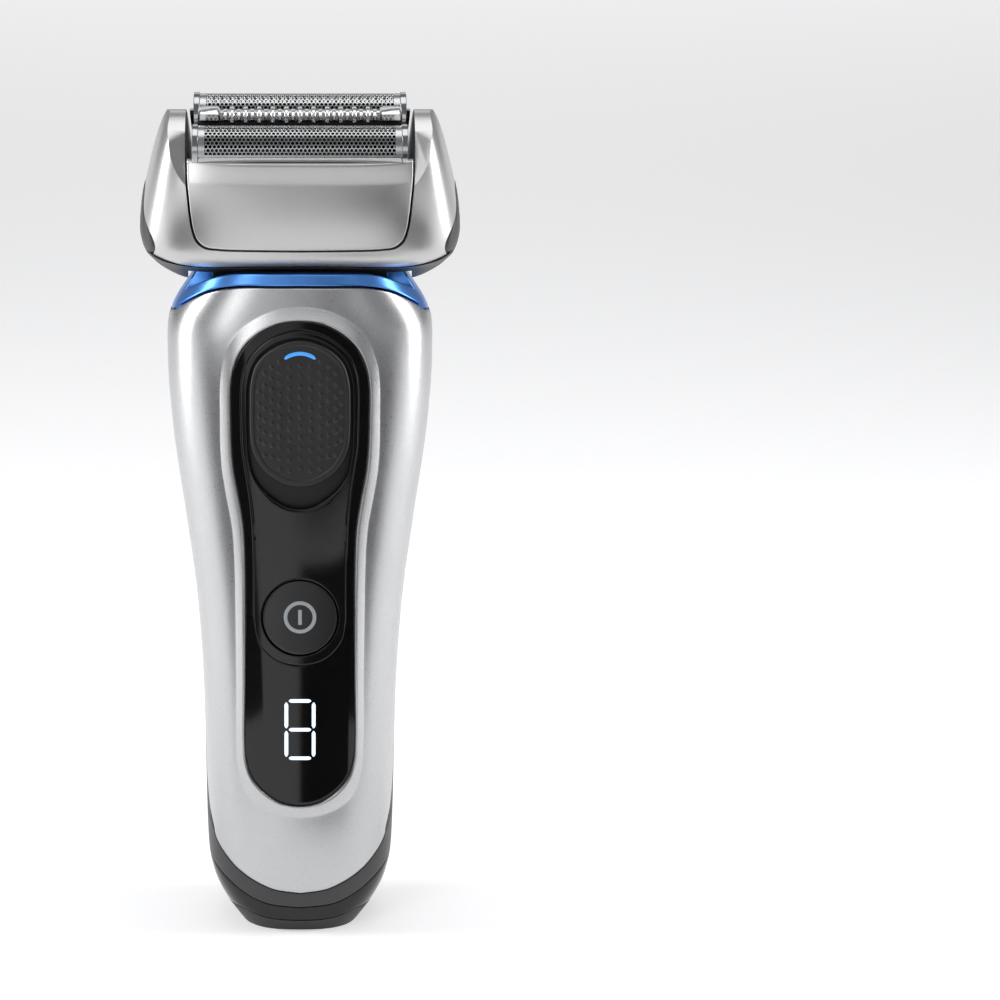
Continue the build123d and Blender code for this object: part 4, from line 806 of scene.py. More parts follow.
def inside_margin(P):
    """Distance inside the pad's face, in millimetres, negative outside."""
    c = np.array([0, 110.0])
    ang_d = np.arctan2(face_dense[:, 1] - c[1], face_dense[:, 0] - c[0])
    rad_d = np.hypot(face_dense[:, 0], face_dense[:, 1] - c[1])
    o = np.argsort(ang_d)
    a = np.arctan2(P[:, 1] - c[1], P[:, 0])
    return np.interp(a, ang_d[o], rad_d[o], period=2 * np.pi) - np.hypot(P[:, 0], P[:, 1] - c[1])


keep = inside_margin(dots) > 0.75
dots = dots[keep]
dots = dots[(dots[:, 1] < 120.0) | (np.abs(dots[:, 0]) > 3.6)]


def pad_bump(q):
    """Rim step, dished face and dimples."""
    m = inside_margin(q)
    g = -0.16 * np.clip((m + 0.10) / 0.30, 0, 1)
    g -= 0.22 * np.clip(m / 7.0, 0, 1) ** 1.5
    for x, z in dots:
        d = np.hypot(q[:, 0] - x, q[:, 1] - z)
        near = d < 0.7
        g[near] += 0.27 * np.exp(-(d[near] / 0.36) ** 4)
    return g


NP_ = 420
pad_loop = half_to_loop(PAD, NP_)
spine = np.stack([np.zeros(NP_), np.clip(pad_loop[:, 1], 104.5, 116.0)], 1)
pad = patch("lock_pad_rubber", front_xz, pad_loop, spine, 96, 0.6,
            grow_edge=0.30, top=0.72, bump=pad_bump, material=RUBBER, sharp=60)
put(pad, "lock_switch", ("lock_pad",))

arc = [(-3.0, 121.05), (-2.0, 121.72), (0, 122.15), (2.0, 121.72), (3.0, 121.05)]
mid = resample(arc, 40)
tn = np.gradient(mid, axis=0)
tn /= np.linalg.norm(tn, axis=1)[:, None]
off = np.stack([-tn[:, 1], tn[:, 0]], 1)
width = 0.36 * np.sqrt(np.clip(1 - (np.linspace(-1, 1, 40)) ** 8, 0.02, 1))[:, None]
# the blue is print; its glow is painted light from the material's emission
mark = shell_strip("lock_mark_blue", front_xz, mid - off * width, mid + off * width,
                   [("f", 0, 0.60), ("f", 0.2, 0.64), ("f", 0.8, 0.64), ("f", 1.0, 0.60)], -0.4,
                   closed=False, material=PRINT_BLUE_PAINTED_GLOW)
put(mark, "lock_switch")

# ------------------------------------------------------------------ power button and its icon
circ = lambda r, n=160, c=c0: c + r * np.stack(
    [np.cos(np.linspace(0, 2 * np.pi, n, endpoint=False)),
     np.sin(np.linspace(0, 2 * np.pi, n, endpoint=False))], 1)
tall_circ = (circ(BTN_R) - c0) * [1.0, 1.045] + c0 + [0, -0.12]
btn = patch("power_button_cap", front_xz, tall_circ, np.tile(c0, (160, 1)), 30, 1.1,
            grow_edge=0.30, top=0.24,
            bump=lambda q: -0.12 * (1 - np.clip(np.hypot(q[:, 0], q[:, 1] - BTN_Z) / 7.0, 0, 1)
                                    ** 2), material=BUTTON)
put(btn, "power_key", ("power_button",))


def ring_icon(name, r0, r1, a0, a1, n, top, mat, c=c0):
    t = np.radians(np.linspace(a0, a1, n))
    d = np.stack([np.sin(t), 1.04 * np.cos(t)], 1)
    return shell_strip(name, front_xz, c + d * r0, c + d * r1,
                       [("f", 0, top - 0.02), ("f", 0.15, top), ("f", 0.85, top),
                        ("f", 1.0, top - 0.02)], -(top - 0.09), closed=False, material=mat)


g_icon = 0.175
icon1 = ring_icon("icon_ring", 2.5, 3.22, 0, 359.9, 120, g_icon, PRINT)
bar = shell_strip("icon_bar", front_xz,
                  np.stack([np.full(8, -0.36), np.linspace(66.75, 69.85, 8)], 1),
                  np.stack([np.full(8, 0.36), np.linspace(66.75, 69.85, 8)], 1),
                  [("f", 0, g_icon - 0.02), ("f", 0.15, g_icon), ("f", 0.85, g_icon),
                   ("f", 1.0, g_icon - 0.02)], -(g_icon - 0.09), closed=False, material=PRINT)
icon = joined("power_icon", [icon1, bar])
put(icon, "power_key")

# ------------------------------------------------------------------ glowing digit
segs = []


def segment(i, x0, z0, x1, z1, w=0.37):
    d = np.array([x1 - x0, z1 - z0], float)
    L = np.linalg.norm(d)
    d /= L
    n = np.array([-d[1], d[0]])
    t = np.linspace(0, L, 12)
    wid = np.minimum(np.minimum(t, L - t) + 0.12, w)[:, None]
    m = np.array([x0, z0]) + t[:, None] * d
    return shell_strip(f"digit_seg_{i}", front_xz, m - n * wid, m + n * wid,
                       [("f", 0, 0.005), ("f", 0.1, 0.02), ("f", 0.9, 0.02), ("f", 1.0, 0.005)],
                       0.05, closed=False, material=GLOW)


for i, s in enumerate([(-2.72, 45.0, -2.72, 50.4), (2.72, 45.0, 2.72, 50.4),
                       (-2.72, 38.95, -2.72, 44.35), (2.72, 38.95, 2.72, 44.35),
                       (-2.2, 50.75, 2.2, 50.75), (-2.2, 44.67, 2.2, 44.67),
                       (-2.2, 38.6, 2.2, 38.6)]):
    segs.append(segment(i, *s))
digit = joined("display_digit", segs)
put(digit, "handle")

# ------------------------------------------------------------------ rings round the handle
NRING = 320


def ring_edge(front, shift=0.0, rear=None, count=None):
    """(l, z) points all round the handle on an edge line, which may differ at the rear."""
    count = count or NRING
    phi = np.linspace(-math.pi, math.pi, count, endpoint=False)
    z = np.full(count, float(front[0][1]))
    for _ in range(60):
        x = np.abs(body.at_phi(phi, z)[:, 0])
        want = fz(front, x) + shift
        if rear is not None:
            wr = fz(rear, x) + shift
            k = np.clip((np.abs(phi) - math.pi / 2) / 0.25 * 0.5 + 0.5, 0, 1)
            want = want * (1 - k) + wr * k
        z = 0.5 * z + 0.5 * want
    return phi, z


def ring(name, lo, hi, rows, thick, **kw):
    (phi, z0), (_, z1) = lo, hi
    A, B = np.stack([phi, z0], 1), np.stack([phi, z1], 1)
    outer, inner = [], []
    gap = z1 - z0
    for mode, amount, grow in rows:
        t = amount / gap if mode == "a" else 1 - amount / gap if mode == "b" else (
            0.2 / gap + amount * (1 - 0.4 / gap))
        z = z0 + gap * t
        outer.append(body.at_phi(phi, z, grow))
        inner.append(body.at_phi(phi, z, -thick))
    P = np.stack(outer + inner[::-1], 1)
    v, f = tube_mesh(P, True)
    return mesh_object(name, v, f, **kw)


soft = rows_soft(0.16, 8)
band = ring("lower_band_grey", ring_edge(BAND_EDGE, 0.10), ring_edge(SILVER_EDGE, 0.0), soft, 1.5,
            material=BAND)
put(band, "handle", ("lower_band",))
CAP_FOOT = [(0, 2.29), (4.78, 2.48), (8.76, 3.24), (10.8, 3.85), (12.5, 4.12), (23, 4.2)]
cap = ring("base_cap_gloss", ring_edge(CAP_FOOT, 0.10), ring_edge(BAND_EDGE, -0.02), soft, 1.5,
           material=GLOSS)
put(cap, "handle", ("base_cap",))

collar_ring = ring("collar_band", ring_edge(ARCH_SHELL, 0.05, ARCH_SHELL_REAR),
                   ring_edge(ARCH_RIM, 0.0, ARCH_RIM_REAR), rows_soft(0.22, 8), 2.3,
                   material=BLUE)


def cheek(side):
    n = 120
    t = np.linspace(0, 2 * np.pi, n, endpoint=False)
    # outline in (y, z): a round top about the pivot on a flared foot
    pts = []
    for a in np.linspace(0, np.pi, 40):
        pts.append((1.0 + 4.35 * math.cos(a), 136.0 + 4.35 * math.sin(a)))
    left = [(-3.35, 134.0), (-3.7, 132.4), (-5.2, 130.4), (-7.6, 128.7)]
    right = [(2 - y, z) for y, z in left][::-1]
    pts += left + [(-3, 128.4), (1.0, 128.3), (5, 128.4)] + right
    loop = resample(pts, n, closed=True)
    spine = np.stack([np.full(n, 1.0), np.clip(loop[:, 1], 131.0, 136.0)], 1)
    gap = np.linalg.norm(spine - loop, axis=1)
    outer, inner = [], []
    for d, g in ((0.0, -0.28), (0.1, -0.08), (0.3, 0.0)):
        q = loop + (spine - loop) * (d / gap)[:, None]
        outer.append(body.at_side(q[:, 0], q[:, 1], g, side))
    for k in range(1, 10):
        q = loop + (spine - loop) * ((0.3 + (gap - 0.3) * k / 9) / gap)[:, None]
        outer.append(body.at_side(q[:, 0], q[:, 1], 0.0, side))
    for k in range(0, 5):
        q = loop + (spine - loop) * (k / 4)
        inner.append(np.stack([np.full(n, side * 17.25), q[:, 0], q[:, 1]], 1))
    P = np.stack(outer[::-1] + inner, 1)
    Mn, K = P.shape[:2]
    faces = []
    for m in range(Mn):
        n2 = (m + 1) % Mn
        for k in range(K - 1):
            faces.append((m * K + k, m * K + k + 1, n2 * K + k + 1, n2 * K + k))
    return mesh_object(f"cheek_{side}", P.reshape(-1, 3), faces, material=BLUE)


collar_obj = joined("collar_blue", [collar_ring, cheek(1), cheek(-1)])
put(collar_obj, "handle", ("collar",))

# ------------------------------------------------------------------ back shell
def back_shell():
    n_c, n_r = 240, 110
    c = np.linspace(0, 1, n_c)
    z_lo, z_hi = np.full(n_c, 20.0), np.full(n_c, 128.0)

    def l_at(z):
        ls = split_l(z) + 0.10
        return ls + c * 2 * (body.l_total(z) - ls)

    def phi_at(z):
        l, tot = l_at(z), body.l_total(z)
        m = l > tot
        p = body.phi_of_l(np.where(m, 2 * tot - l, l), z)
        return np.where(m, 2 * np.pi - p, p)

    for _ in range(60):
        x0 = np.abs(body.at_phi(phi_at(z_lo), z_lo)[:, 0])
        z_lo = 0.5 * z_lo + 0.5 * (fz(SILVER_EDGE, x0) + 0.12)
        ph = phi_at(z_hi)
        x1 = np.abs(body.at_phi(ph, z_hi)[:, 0])
        k = np.clip((np.minimum(np.abs(ph), np.abs(2 * np.pi - ph)) - math.pi / 2) / 0.5 + 0.5,
                    0, 1)
        z_hi = 0.5 * z_hi + 0.5 * (fz(ARCH_SHELL, x1) * (1 - k) + fz(ARCH_SHELL_REAR, x1) * k
                                   - 0.35)
    rows = [(0.0, -0.2), (0.08, -0.05), (0.22, 0.0)]
    outer, inner = [], []
    gap = z_hi - z_lo
    ts = [(d / gap, g) for d, g in rows]
    ts += [(0.22 / gap + (1 - 0.44 / gap) * k / n_r, 0.0) for k in range(1, n_r)]
    ts += [(1 - d / gap, g) for d, g in rows[::-1]]
    for t, g in ts:
        z = z_lo + gap * t
        ph = phi_at(z)
        outer.append(body.at_phi(ph, z, g))
        inner.append(body.at_phi(ph, z, -1.6))
    P = np.stack(outer + inner[::-1], 1)
    v, f = tube_mesh(P, False)
    return mesh_object("back_shell_black", v, f, material=MATT)


def cutter(name, loop, y0, y1):
    """Prism along y through the (x, z) loop, for a boolean cut."""
    n = len(loop)
    verts = [(x, y0, z) for x, z in loop] + [(x, y1, z) for x, z in loop]
    faces = [tuple(range(n)), tuple(range(2 * n - 1, n - 1, -1))]
    faces += [(i, i + n, (i + 1) % n + n, (i + 1) % n) for i in range(n)]
    return mesh_object(name, verts, faces)


def rounded_rect(x0, x1, z0, z1, r, n=6):
    pts = []
    for cx, cz, a0 in ((x1 - r, z1 - r, 0), (x0 + r, z1 - r, 90), (x0 + r, z0 + r, 180),
                       (x1 - r, z0 + r, 270)):
        for k in range(n + 1):
            a = math.radians(a0 + 90 * k / n)
            pts.append((cx + r * math.cos(a), cz + r * math.sin(a)))
    return pts


def cut(obj, *tools):
    for t in tools:
        mod = obj.modifiers.new("cut", "BOOLEAN")
        mod.operation = "DIFFERENCE"
        mod.solver = "EXACT"
        mod.object = t
    deps = bpy.context.evaluated_depsgraph_get()
    mesh = bpy.data.meshes.new_from_object(obj.evaluated_get(deps))
    obj.modifiers.clear()
    old = obj.data
    obj.data = mesh
    mesh.name = old.name
    for t in tools:
        bpy.data.objects.remove(t)
    for p in mesh.polygons:
        p.use_smooth = True
    mesh.set_sharp_from_angle(angle=math.radians(38))
    return obj


bs = back_shell()
bs = cut(bs, cutter("bay", rounded_rect(-15.6, 15.6, 84.2, 119.6, 1.2), 8.2, 30),
         cutter("slot", rounded_rect(-5.8, 5.8, 71.8, 81.4, 2.2), 8.2, 30),
         cutter("c1", [tuple(p) for p in circ(2.2, 40, np.array([-4.6, 24.0]))], 8.2, 30),
         cutter("c2", [tuple(p) for p in circ(2.2, 40, np.array([4.6, 24.0]))], 8.2, 30))
put(bs, "handle", ("back_shell",))
rear_xz = lambda x, z, g: body.at_x(x, z, g, rear=True)
wloop = resample(rounded_rect(-5.7, 5.7, 71.9, 81.3, 2.1), 140, closed=True)
dust = patch("release_dust_plate", rear_xz, wloop,
             np.stack([np.clip(wloop[:, 0], -1.2, 1.2), np.full(140, 76.6)], 1), 6, 1.5,
             grow_edge=0.03, top=-1.2, material=GROOVE)
put(dust, "handle")

# ribs moulded on the rear grip
ribs = []
for k, zc in enumerate(np.arange(35.5, 70.0, 2.7)):
    w = float(np.interp(zc, [33, 40, 50, 62, 72], [7.6, 10.4, 11.3, 11.9, 12.4]))
    xs = np.linspace(-w, w, 60)
    zl = zc + 0.016 * xs**2
    half = 0.62 * np.sqrt(np.clip(1 - (xs / (w + 0.3)) ** 8, 0.05, 1))
    lo_, hi_ = np.stack([xs, zl - half], 1), np.stack([xs, zl + half], 1)
    ribs.append(shell_strip(f"rib_{k}", rear_xz, lo_, hi_,
                            [("f", 0, 0.66), ("f", 0.18, 0.86), ("f", 0.4, 0.95),
                             ("f", 0.6, 0.95), ("f", 0.82, 0.86), ("f", 1.0, 0.66)], -0.6,
                            closed=False, material=RUBBER))
put(joined("grip_ribs", ribs), "handle")

# ------------------------------------------------------------------ head shell
GAPC = [(x + (0.38 if x > 15 else 0.2 * x / 15), z - 0.38) for x, z in CASSETTE[:-1]] + [
    (21.85, 27.5), (21.9, 30.5), (21.9, 34.2)]
BROW = [(-16.9, 21.0), (-13.4, 26.0), (-9.2, 29.7), (-4.6, 32.0), (0, 32.9), (3.6, 31.95),
        (8.0, 29.2), (12.0, 26.0), (16.9, 21.0)]


def head_solid(name, grow, h0, h1, n_h, n_phi=208):
    """The head's outer form between two heights, closed at both ends."""
    phi = np.linspace(-math.pi, math.pi, n_phi, endpoint=False)
    hs = np.linspace(h0, h1, n_h)
    P = np.stack([head.at_phi(phi, np.full(n_phi, h), grow) for h in hs], 0)
    M, K = P.shape[:2]
    faces = []
    for m in range(M - 1):
        for k in range(K):
            j = (k + 1) % K
            faces.append((m * K + k, m * K + j, (m + 1) * K + j, (m + 1) * K + k))
    faces += [tuple(range(K)), tuple(range((M - 1) * K, M * K))]
    return mesh_object(name, P.reshape(-1, 3), faces)


def head_prism(name, loop, axis, lo, hi, splits=1):
    """Prism in the head's frame: a (y, h) loop along x, or an (x, h) loop along y."""
    loop = np.asarray(loop, float)
    n = len(loop)
    layers = []
    for t in np.linspace(lo, hi, splits + 1):
        c = np.full(n, t)
        layers.append(head_pt(c, loop[:, 0], loop[:, 1]) if axis == "x"
                      else head_pt(loop[:, 0], c, loop[:, 1]))
    verts = np.vstack(layers)
    faces = []
    for m in range(splits):
        for k in range(n):
            j = (k + 1) % n
            faces.append((m * n + k, m * n + j, (m + 1) * n + j, (m + 1) * n + k))
    faces += [tuple(range(n)), tuple(range(splits * n, (splits + 1) * n))]
    return mesh_object(name, verts, faces)


def head_hull(name, pts):
    """Convex block through the given head-frame points."""
    import bmesh
    mesh = bpy.data.meshes.new(name)
    bm = bmesh.new()
    for p in pts:
        bm.verts.new(tuple(head_pt(*p).reshape(3) * MM))
    bmesh.ops.convex_hull(bm, input=bm.verts)
    bmesh.ops.recalc_face_normals(bm, faces=bm.faces)
    bm.to_mesh(mesh)
    bm.free()
    obj = bpy.data.objects.new(name, mesh)
    bpy.context.scene.collection.objects.link(obj)
    return obj


brow_line = resample(BROW, 60)
over_brow = [tuple(p) for p in brow_line] + [(24, 21), (24, 45), (-24, 45), (-24, 21)]
split_x = np.linspace(-34, 34, 90)
under_split = [(x, float(fz(HEAD_SPLIT, x)) + 0.12) for x in split_x] + [(34, -9), (-34, -9)]
gap_half = resample(GAPC, 90)
gap_loop = [tuple(p) for p in gap_half] + [(21.9, 45), (-21.9, 45)] + [
    (-x, z) for x, z in gap_half[::-1]]
gap_loop = [p for i, p in enumerate(gap_loop) if i == 0 or np.hypot(
    p[0] - gap_loop[i - 1][0], p[1] - gap_loop[i - 1][1]) > 1e-4]


def chamfer_block(side):
    """Cuts the inner front corner of an arm: a slanting plane that runs out downwards."""
    A = np.array([22.0, -13.2, 24.4])
    B = np.array([25.1, -8.6, 29.8])
    C = np.array([22.0, -6.6, 30.6])
    n = np.cross(B - A, C - A)
    n /= np.linalg.norm(n)
    if n[1] > 0:
        n = -n
    u = (B - A) / np.linalg.norm(B - A)
    v = np.cross(n, u)
    o = (A + B + C) / 3
    pts = []
    for i in (-14, 14):
        for j in (-14, 14):
            for k in (0, 12):
                q = o + u * i + v * j + n * k
                pts.append((side * q[0], q[1], q[2]))
    return head_hull(f"chamfer_{side}", pts)


def head_shell():
    solid = head_solid("head_shell_silver", 0.0, 3.0, 34.2, 110)
    inner = head_solid("head_inner", -1.5, 1.0, 17.5, 40, 120)
    solid = cut(solid, head_prism("over_brow", over_brow, "x", -40, 40, 8))
    solid = cut(solid, inner)
    solid = cut(solid, head_prism("gap", gap_loop, "y", -40, 40))
    solid = cut(solid, head_prism("under", under_split, "y", -40, 40))
    t = np.linspace(0, 2 * np.pi, 90, endpoint=False)
    hole = np.stack([12.2 * np.cos(t), 10.9 + 5.6 * np.sin(t)], 1)
    for side in (1, -1):
        lo, hi = sorted((side * 22.6, side * 40))
        solid = cut(solid, head_prism("hole", hole, "x", lo, hi))
        solid = cut(solid, chamfer_block(side))
    solid.data.materials.clear()
    solid.data.materials.append(SILVER_HEAD_PAINTED_LIGHT)
    return solid


def cut(obj, *tools):
    for t in tools:
        mod = obj.modifiers.new("cut", "BOOLEAN")
        mod.operation = "DIFFERENCE"
        mod.solver = "EXACT"
        mod.object = t
    deps = bpy.context.evaluated_depsgraph_get()
    mesh = bpy.data.meshes.new_from_object(obj.evaluated_get(deps))
    obj.modifiers.clear()
    old = obj.data
    obj.data = mesh
    mesh.name = old.name
    for t in tools:
        bpy.data.objects.remove(t)
    for p in mesh.polygons:
        p.use_smooth = True
    mesh.set_sharp_from_angle(angle=math.radians(30))
    return obj


hs = head_shell()
put(hs, "head", ("head_frame",))

# ------------------------------------------------------------------ release buttons
for side, nm in ((-1, "release_button_left"), (1, "release_button_right")):
    t = np.linspace(0, 2 * np.pi, 140, endpoint=False)
    lp = np.stack([11.95 * np.cos(t), 10.9 + 5.35 * np.sin(t)], 1)
    rb = patch(nm + "_cap", lambda y, h, g, s=side: head.at_side(y, h, g, s), lp,
               np.stack([np.clip(lp[:, 0], -6.0, 6.0), np.full(140, 10.9)], 1), 16, 1.5,
               grow_edge=0.35, top=0.12,
               bump=lambda q: 0.05 * np.cos(np.clip(q[:, 0] * 2.4, -18, 18)) * (
                   np.abs(q[:, 1] - 10.8) < 3.4) * (np.abs(q[:, 0]) < 6.5), material=BAND)
    put(rb, "release_left" if side < 0 else "release_right", (nm,))

# ------------------------------------------------------------------ cassette panels
for rear, nm in ((False, "cassette_front_panel"), (True, "cassette_rear_panel")):
    full = [(-x, z) for x, z in reversed(CASSETTE) if x > 0] + CASSETTE
    cv = resample(full, 300)
    topn = 120
    top_line = np.stack([np.linspace(21.45, -21.45, topn + 2)[1:-1],
                         np.full(topn, 28.4)], 1)
    lp = np.vstack([cv, top_line])
    sp = np.stack([np.clip(lp[:, 0], -13.5, 13.5), np.full(len(lp), 20.0)], 1)

    def ev(x, h, g, rear=rear):
        extra = -0.16 * np.clip((h - 25.0) / 1.2, 0, 3.0)
        return head.at_x(np.clip(x, -head.dims(h)[0], head.dims(h)[0]), h, g + extra, rear)

    cp = patch(nm + "_silver", ev, lp, sp, 26, 0.85, grow_edge=0.2, material=SILVER_HEAD_PAINTED_LIGHT)
    put(cp, "cassette", (nm,))

# ------------------------------------------------------------------ foils
def perforated(name, yc):
    """A half-round sheet with a honeycomb of real holes, to lie between solid end strips that are
    made separately.
    """
    pitch = 0.80
    r = FOIL_R
    rows_n = int(math.radians(158) * r / (pitch * 0.866))
    cols_n = int(37.2 / pitch)
    rows_n += rows_n % 2
    a0 = math.radians(11)
    sy = math.radians(158) * r / rows_n
    sx = pitch
    hole = pitch * 0.455
    verts, faces = [], []

    def P(u, v, rad):
        a = a0 + v / r
        return head_pt(u, yc - rad * math.cos(a), FOIL_H + rad * math.sin(a))

    x_start = -cols_n * sx / 2
    index = {}

    def vid(u, v, rad):
        key = (round(u, 4), round(v, 4), rad)
        if key not in index:
            index[key] = len(verts)
            verts.append(P(u, v, rad))
        return index[key]

    for rad in (r, r - 0.09):
        for j in range(rows_n):
            shift = 0.0 if j % 2 else sx / 2
            for i in range(cols_n):
                cx = x_start + (i + 0.5) * sx + (shift - sx / 4)
                cy = (j + 0.5) * sy
                hexv, rim_ = [], []
                for k in range(6):
                    if k in (0, 3):
                        pass
                    ang_ = math.radians(30 + 60 * k)
                    ox, oy = math.cos(ang_), math.sin(ang_)
                    hexv.append((cx + ox * sx / math.sqrt(3), cy + oy * sy * 2 / 3))
                    rim_.append((cx + ox * hole * 0.98, cy + oy * hole * 0.98))
                o = [vid(u, max(0.0, min(v, rows_n * sy)), rad) for u, v in hexv]
                n_ = [vid(u, v, rad) for u, v in rim_]
                for k in range(6):
                    q = (k + 1) % 6
                    faces.append((o[k], o[q], n_[q], n_[k]))
                if rad == r:
                    lo_ = [vid(u, v, r - 0.09) for u, v in rim_]
                    for k in range(6):
                        q = (k + 1) % 6
                        faces.append((n_[k], n_[q], lo_[q], lo_[k]))
    obj = mesh_object(name, verts, faces, sharp=50, material=FOIL)
    return obj


def frame_strip(name, yc, x0, x1, a0, a1, r, t, mat):
    """Solid part of the foil sheet."""
    prof = []
    for a in np.radians(np.linspace(a0, a1, 40)):
        prof.append((yc - r * math.cos(a), FOIL_H + r * math.sin(a)))
    for a in np.radians(np.linspace(a1, a0, 40)):
        prof.append((yc - (r - t) * math.cos(a), FOIL_H + (r - t) * math.sin(a)))
    return sweep_x(name, prof, np.linspace(x0, x1, 12), material=mat)


for word, yc, bodyname in (("front", -FOIL_Y, "foil_front"), ("rear", FOIL_Y, "foil_rear")):
    parts = [perforated(f"{word}_perf", yc)]
    for x0, x1 in ((-19.35, -18.1), (18.1, 19.35)):
        parts.append(frame_strip(f"{word}_end", yc, x0, x1, 2, 178, FOIL_R + 0.02, 0.14, FOIL))
    for a0, a1 in ((-8, 13), (167, 188)):
        parts.append(frame_strip(f"{word}_side", yc, -19.35, 19.35, a0, a1, FOIL_R + 0.02, 0.16,
                                 FOIL))
    fo = joined(f"{word}_foil_sheet", parts)
    put(fo, bodyname, (f"{word}_foil",))
    # carrier: rounded end caps and side rails
    caps = []
    for x0, x1 in ((-20.5, -19.3), (19.3, 20.5)):
        prof = [(yc + (FOIL_R + 0.27) * math.cos(a), FOIL_H + (FOIL_R + 0.27) * math.sin(a))
                for a in np.linspace(0, math.pi, 40)]
        prof += [(yc - FOIL_R - 0.27, 27.05), (yc + FOIL_R + 0.27, 27.05)]
        xs = [x0, x0 + 0.12, x1 - 0.12, x1]
        sc = [0.965, 1.0, 1.0, 0.965]
        P = np.stack([head_pt(np.full(len(prof), x),
                              yc + (np.array(prof)[:, 0] - yc) * s,
                              FOIL_H + (np.array(prof)[:, 1] - FOIL_H) * s)
                      for x, s in zip(xs, sc)], 0)
        M_, K_ = P.shape[:2]
        fc = []
        for m in range(M_ - 1):
            for k in range(K_):
                j = (k + 1) % K_
                fc.append((m * K_ + k, m * K_ + j, (m + 1) * K_ + j, (m + 1) * K_ + k))
        fc.append(tuple(range(K_)))
        fc.append(tuple(range((M_ - 1) * K_, M_ * K_)))
        caps.append(mesh_object("cap", P.reshape(-1, 3), fc, material=CHROME))
    rails = boxes("rails", [(-19.35, 19.35, yc - FOIL_R - 0.30, yc - FOIL_R + 0.02, 27.0, 29.2,
                             0.1),
                            (-19.35, 19.35, yc + FOIL_R - 0.02, yc + FOIL_R + 0.30, 27.0, 29.2,
                             0.1)], material=CHROME)
    ca = joined(f"{word}_foil_frame", caps + [rails])
    put(ca, bodyname, (f"{word}_foil_carrier",))

# ------------------------------------------------------------------ middle trimmer guard
guard = []
teeth_v, teeth_f = [], []
for i in range(-11, 12):
    x = i * 1.3
    tall = i % 2 == 0
    w = 0.40 if tall else 0.34
    top_h = 33.9 if tall else 33.45
    tip_y = 1.72 if tall else 1.55
    prof = [(-tip_y, 31.75 if tall else 32.3), (-tip_y, 33.0), (-tip_y + 0.3, top_h - 0.25),
            (-0.7, top_h), (0.7, top_h), (tip_y - 0.3, top_h - 0.25), (tip_y, 33.0),
            (tip_y, 31.75 if tall else 32.3), (tip_y - 0.35, 31.9), (tip_y - 0.45, 32.6),
            (0.6, 32.95), (-0.6, 32.95), (-tip_y + 0.45, 32.6), (-tip_y + 0.35, 31.9)]
    n = len(prof)
    base = len(teeth_v)
    for xx, k in ((x - w, 0.93), (x - w * 0.7, 1.0), (x + w * 0.7, 1.0), (x + w, 0.93)):
        for y, h in prof:
            teeth_v.append(head_pt(xx, y * k, 32.9 + (h - 32.9) * k).reshape(3))
    for m in range(3):
        for k in range(n):
            j = (k + 1) % n
            teeth_f.append((base + m * n + k, base + m * n + j, base + (m + 1) * n + j,
                            base + (m + 1) * n + k))
    for m in (0, 3):
        for k in range(6):
            q = [base + m * n + v for v in (k, k + 1, 13 - k - 1, 13 - k)]
            teeth_f.append(tuple(q))
guard.append(mesh_object("guard_teeth", teeth_v, teeth_f, material=GUARD))
guard.append(boxes("guard_ends", [(-19.5, -15.3, -1.7, 1.7, 31.9, 33.75, 0.35),
                                  (15.3, 19.5, -1.7, 1.7, 31.9, 33.75, 0.35),
                                  (-15.4, 15.4, -0.5, 0.5, 33.0, 33.4, 0.1)], material=GUARD))
sg = joined("skin_guard_comb", guard)
put(sg, "mid_trimmer", ("skin_guard",))

# ------------------------------------------------------------------ carried-over CAD nodes
finish = {
    "back_grip": RUBBER, "base_plate": MATT, "power_socket": DARKP, "socket_pins": BRASS,
    "charge_contacts": BRASS, "foot_screws": STEEL, "top_seal": GROOVE, "lock_slider": DARKP,
    "main_board": BOARD, "power_switch": DARKP, "led_display": DARKP, "inner_frame": DARKP,
    "battery_cell": SLEEVE, "battery_contacts": BRASS, "board_screws": STEEL,
    "bay_tray": DARKP, "trimmer_flap": MATT, "trimmer_hinge_pin": STEEL,
    "trimmer_fixed_blade": STEEL, "trimmer_moving_blade": STEEL, "trimmer_release": BUTTON,
    "head_base": MATT, "swivel_pins": STEEL, "drive_cover": DARKP, "motor_core": STEEL,
    "motor_coil": COPPER, "front_drive_bridge": DARKP, "rear_drive_bridge": DARKP,
    # the cutter blocks take the steel darkened by painted shade
    "flexure_springs": STEEL, "cassette_frame": DARKP, "front_cutter_block": CUTTER_PAINTED_SHADE,
    "rear_cutter_block": CUTTER_PAINTED_SHADE, "mid_trimmer_holder": DARKP, "mid_trimmer_blade": STEEL,
    "float_springs": STEEL,
}
for node, mat in finish.items():
    o = NODES[node]
    o.data.materials.clear()
    o.data.materials.append(mat)
    for p in o.data.polygons:
        p.use_smooth = True
    o.data.set_sharp_from_angle(angle=math.radians(35))

# ------------------------------------------------------------------ stage, lights, camera
def plain(name, color, rough=0.9, glow=0.0):
    m = bpy.data.materials.new(name)
    m.use_nodes = True
    b = m.node_tree.nodes["Principled BSDF"]
    b.inputs["Base Color"].default_value = (*color, 1)
    b.inputs["Roughness"].default_value = rough
    b.inputs["Specular IOR Level"].default_value = 0.2
    b.inputs["Emission Color"].default_value = (1, 1, 1, 1)
    b.inputs["Emission Strength"].default_value = glow
    return m


fm = bpy.data.meshes.new("floor")
S = 3.0
fm.from_pydata([(-S, -S, 0), (S, -S, 0), (S, S, 0), (-S, S, 0)], [], [(0, 1, 2, 3)])
floor = bpy.data.objects.new("floor", fm)
bpy.context.scene.collection.objects.link(floor)
fm.materials.append(plain("floor_pale", (0.80, 0.80, 0.81), glow=0.33))

world = bpy.data.worlds.new("studio")
bpy.context.scene.world = world
world.use_nodes = True
world.node_tree.nodes["Background"].inputs["Color"].default_value = (0.97, 0.98, 1.0, 1)
world.node_tree.nodes["Background"].inputs["Strength"].default_value = 0.22


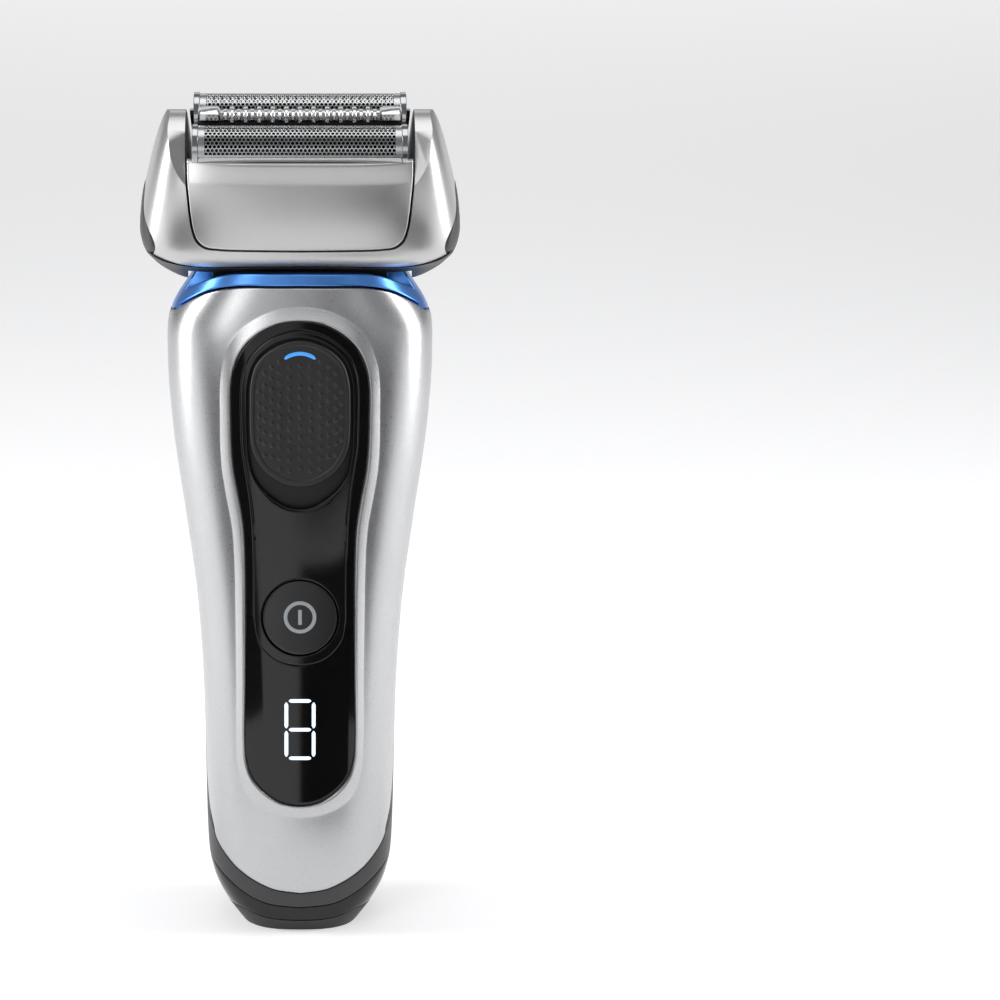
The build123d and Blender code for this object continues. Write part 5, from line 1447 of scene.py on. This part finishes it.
def area(name, loc, aim, size, size_y, power, color=(1, 1, 1)):
    light = bpy.data.lights.new(name, "AREA")
    light.shape = "RECTANGLE"
    light.size, light.size_y = size, size_y
    light.energy = power
    light.color = color
    o = bpy.data.objects.new(name, light)
    bpy.context.scene.collection.objects.link(o)
    o.location = loc
    o.rotation_euler = (Vector(aim) - Vector(loc)).to_track_quat("-Z", "Y").to_euler()
    o.visible_camera = False
    return o


area("strip_left", (-0.50, 0.0, 0.22), (0, 0, 0.08), 0.13, 0.7, 2.6)
area("strip_right", (0.50, 0.0, 0.22), (0, 0, 0.08), 0.13, 0.7, 2.6)
area("front_left", (-0.42, -0.62, 0.42), (0, 0, 0.09), 0.26, 0.8, 1.6)
area("front_soft", (0.0, -1.25, 0.42), (0, 0, 0.12), 1.6, 0.45, 2.0)
area("top_soft", (0.0, 0.05, 0.80), (0, 0, 0.1), 0.6, 0.45, 1.5)
area("far_wash", (0.0, 1.9, 0.9), (0, 1.9, 0.0), 2.6, 1.8, 11.0)


def card(name, x0, x1, y, z0, z1, value, rough=0.9, y1=None):
    """An upright card in front of the shaver, seen only in reflections."""
    mesh = bpy.data.meshes.new(name)
    y1 = y if y1 is None else y1
    mesh.from_pydata([(x0, y, z0), (x1, y1, z0), (x1, y1, z1), (x0, y, z1)], [],
                     [(0, 1, 2, 3)])
    o = bpy.data.objects.new(name, mesh)
    bpy.context.scene.collection.objects.link(o)
    mesh.materials.append(plain(name + "_paint", (value, value, value), rough))
    o.visible_camera = False
    o.visible_diffuse = False
    o.visible_shadow = False
    o.visible_transmission = False
    return o


card("card_near", 0.0, 0.045, -0.068, 0.0005, 0.060, 0.03)
card("card_far", 0.0, 0.14, -0.260, 0.002, 0.125, 0.03)
card("flag_left", -0.050, -0.120, -0.135, 0.001, 0.105, 0.05, y1=-0.075)
card("flag_right", 0.050, 0.120, -0.135, 0.001, 0.105, 0.04, y1=-0.075)

cam_data = bpy.data.cameras.new("camera")
cam_data.sensor_width = 36.0
cam_data.lens = 126.0
cam_data.shift_x = 0.2
cam_data.dof.use_dof = False
cam = bpy.data.objects.new("camera", cam_data)
bpy.context.scene.collection.objects.link(cam)
E = math.radians(16.0)
loc = Vector((0, -0.700 * math.cos(E), 0.088 + 0.700 * math.sin(E)))
cam.location = loc
cam.rotation_euler = (Vector((0, 0, 0.088)) - loc).to_track_quat("-Z", "Y").to_euler()
bpy.context.scene.camera = cam
bpy.context.scene.view_settings.view_transform = "Standard"
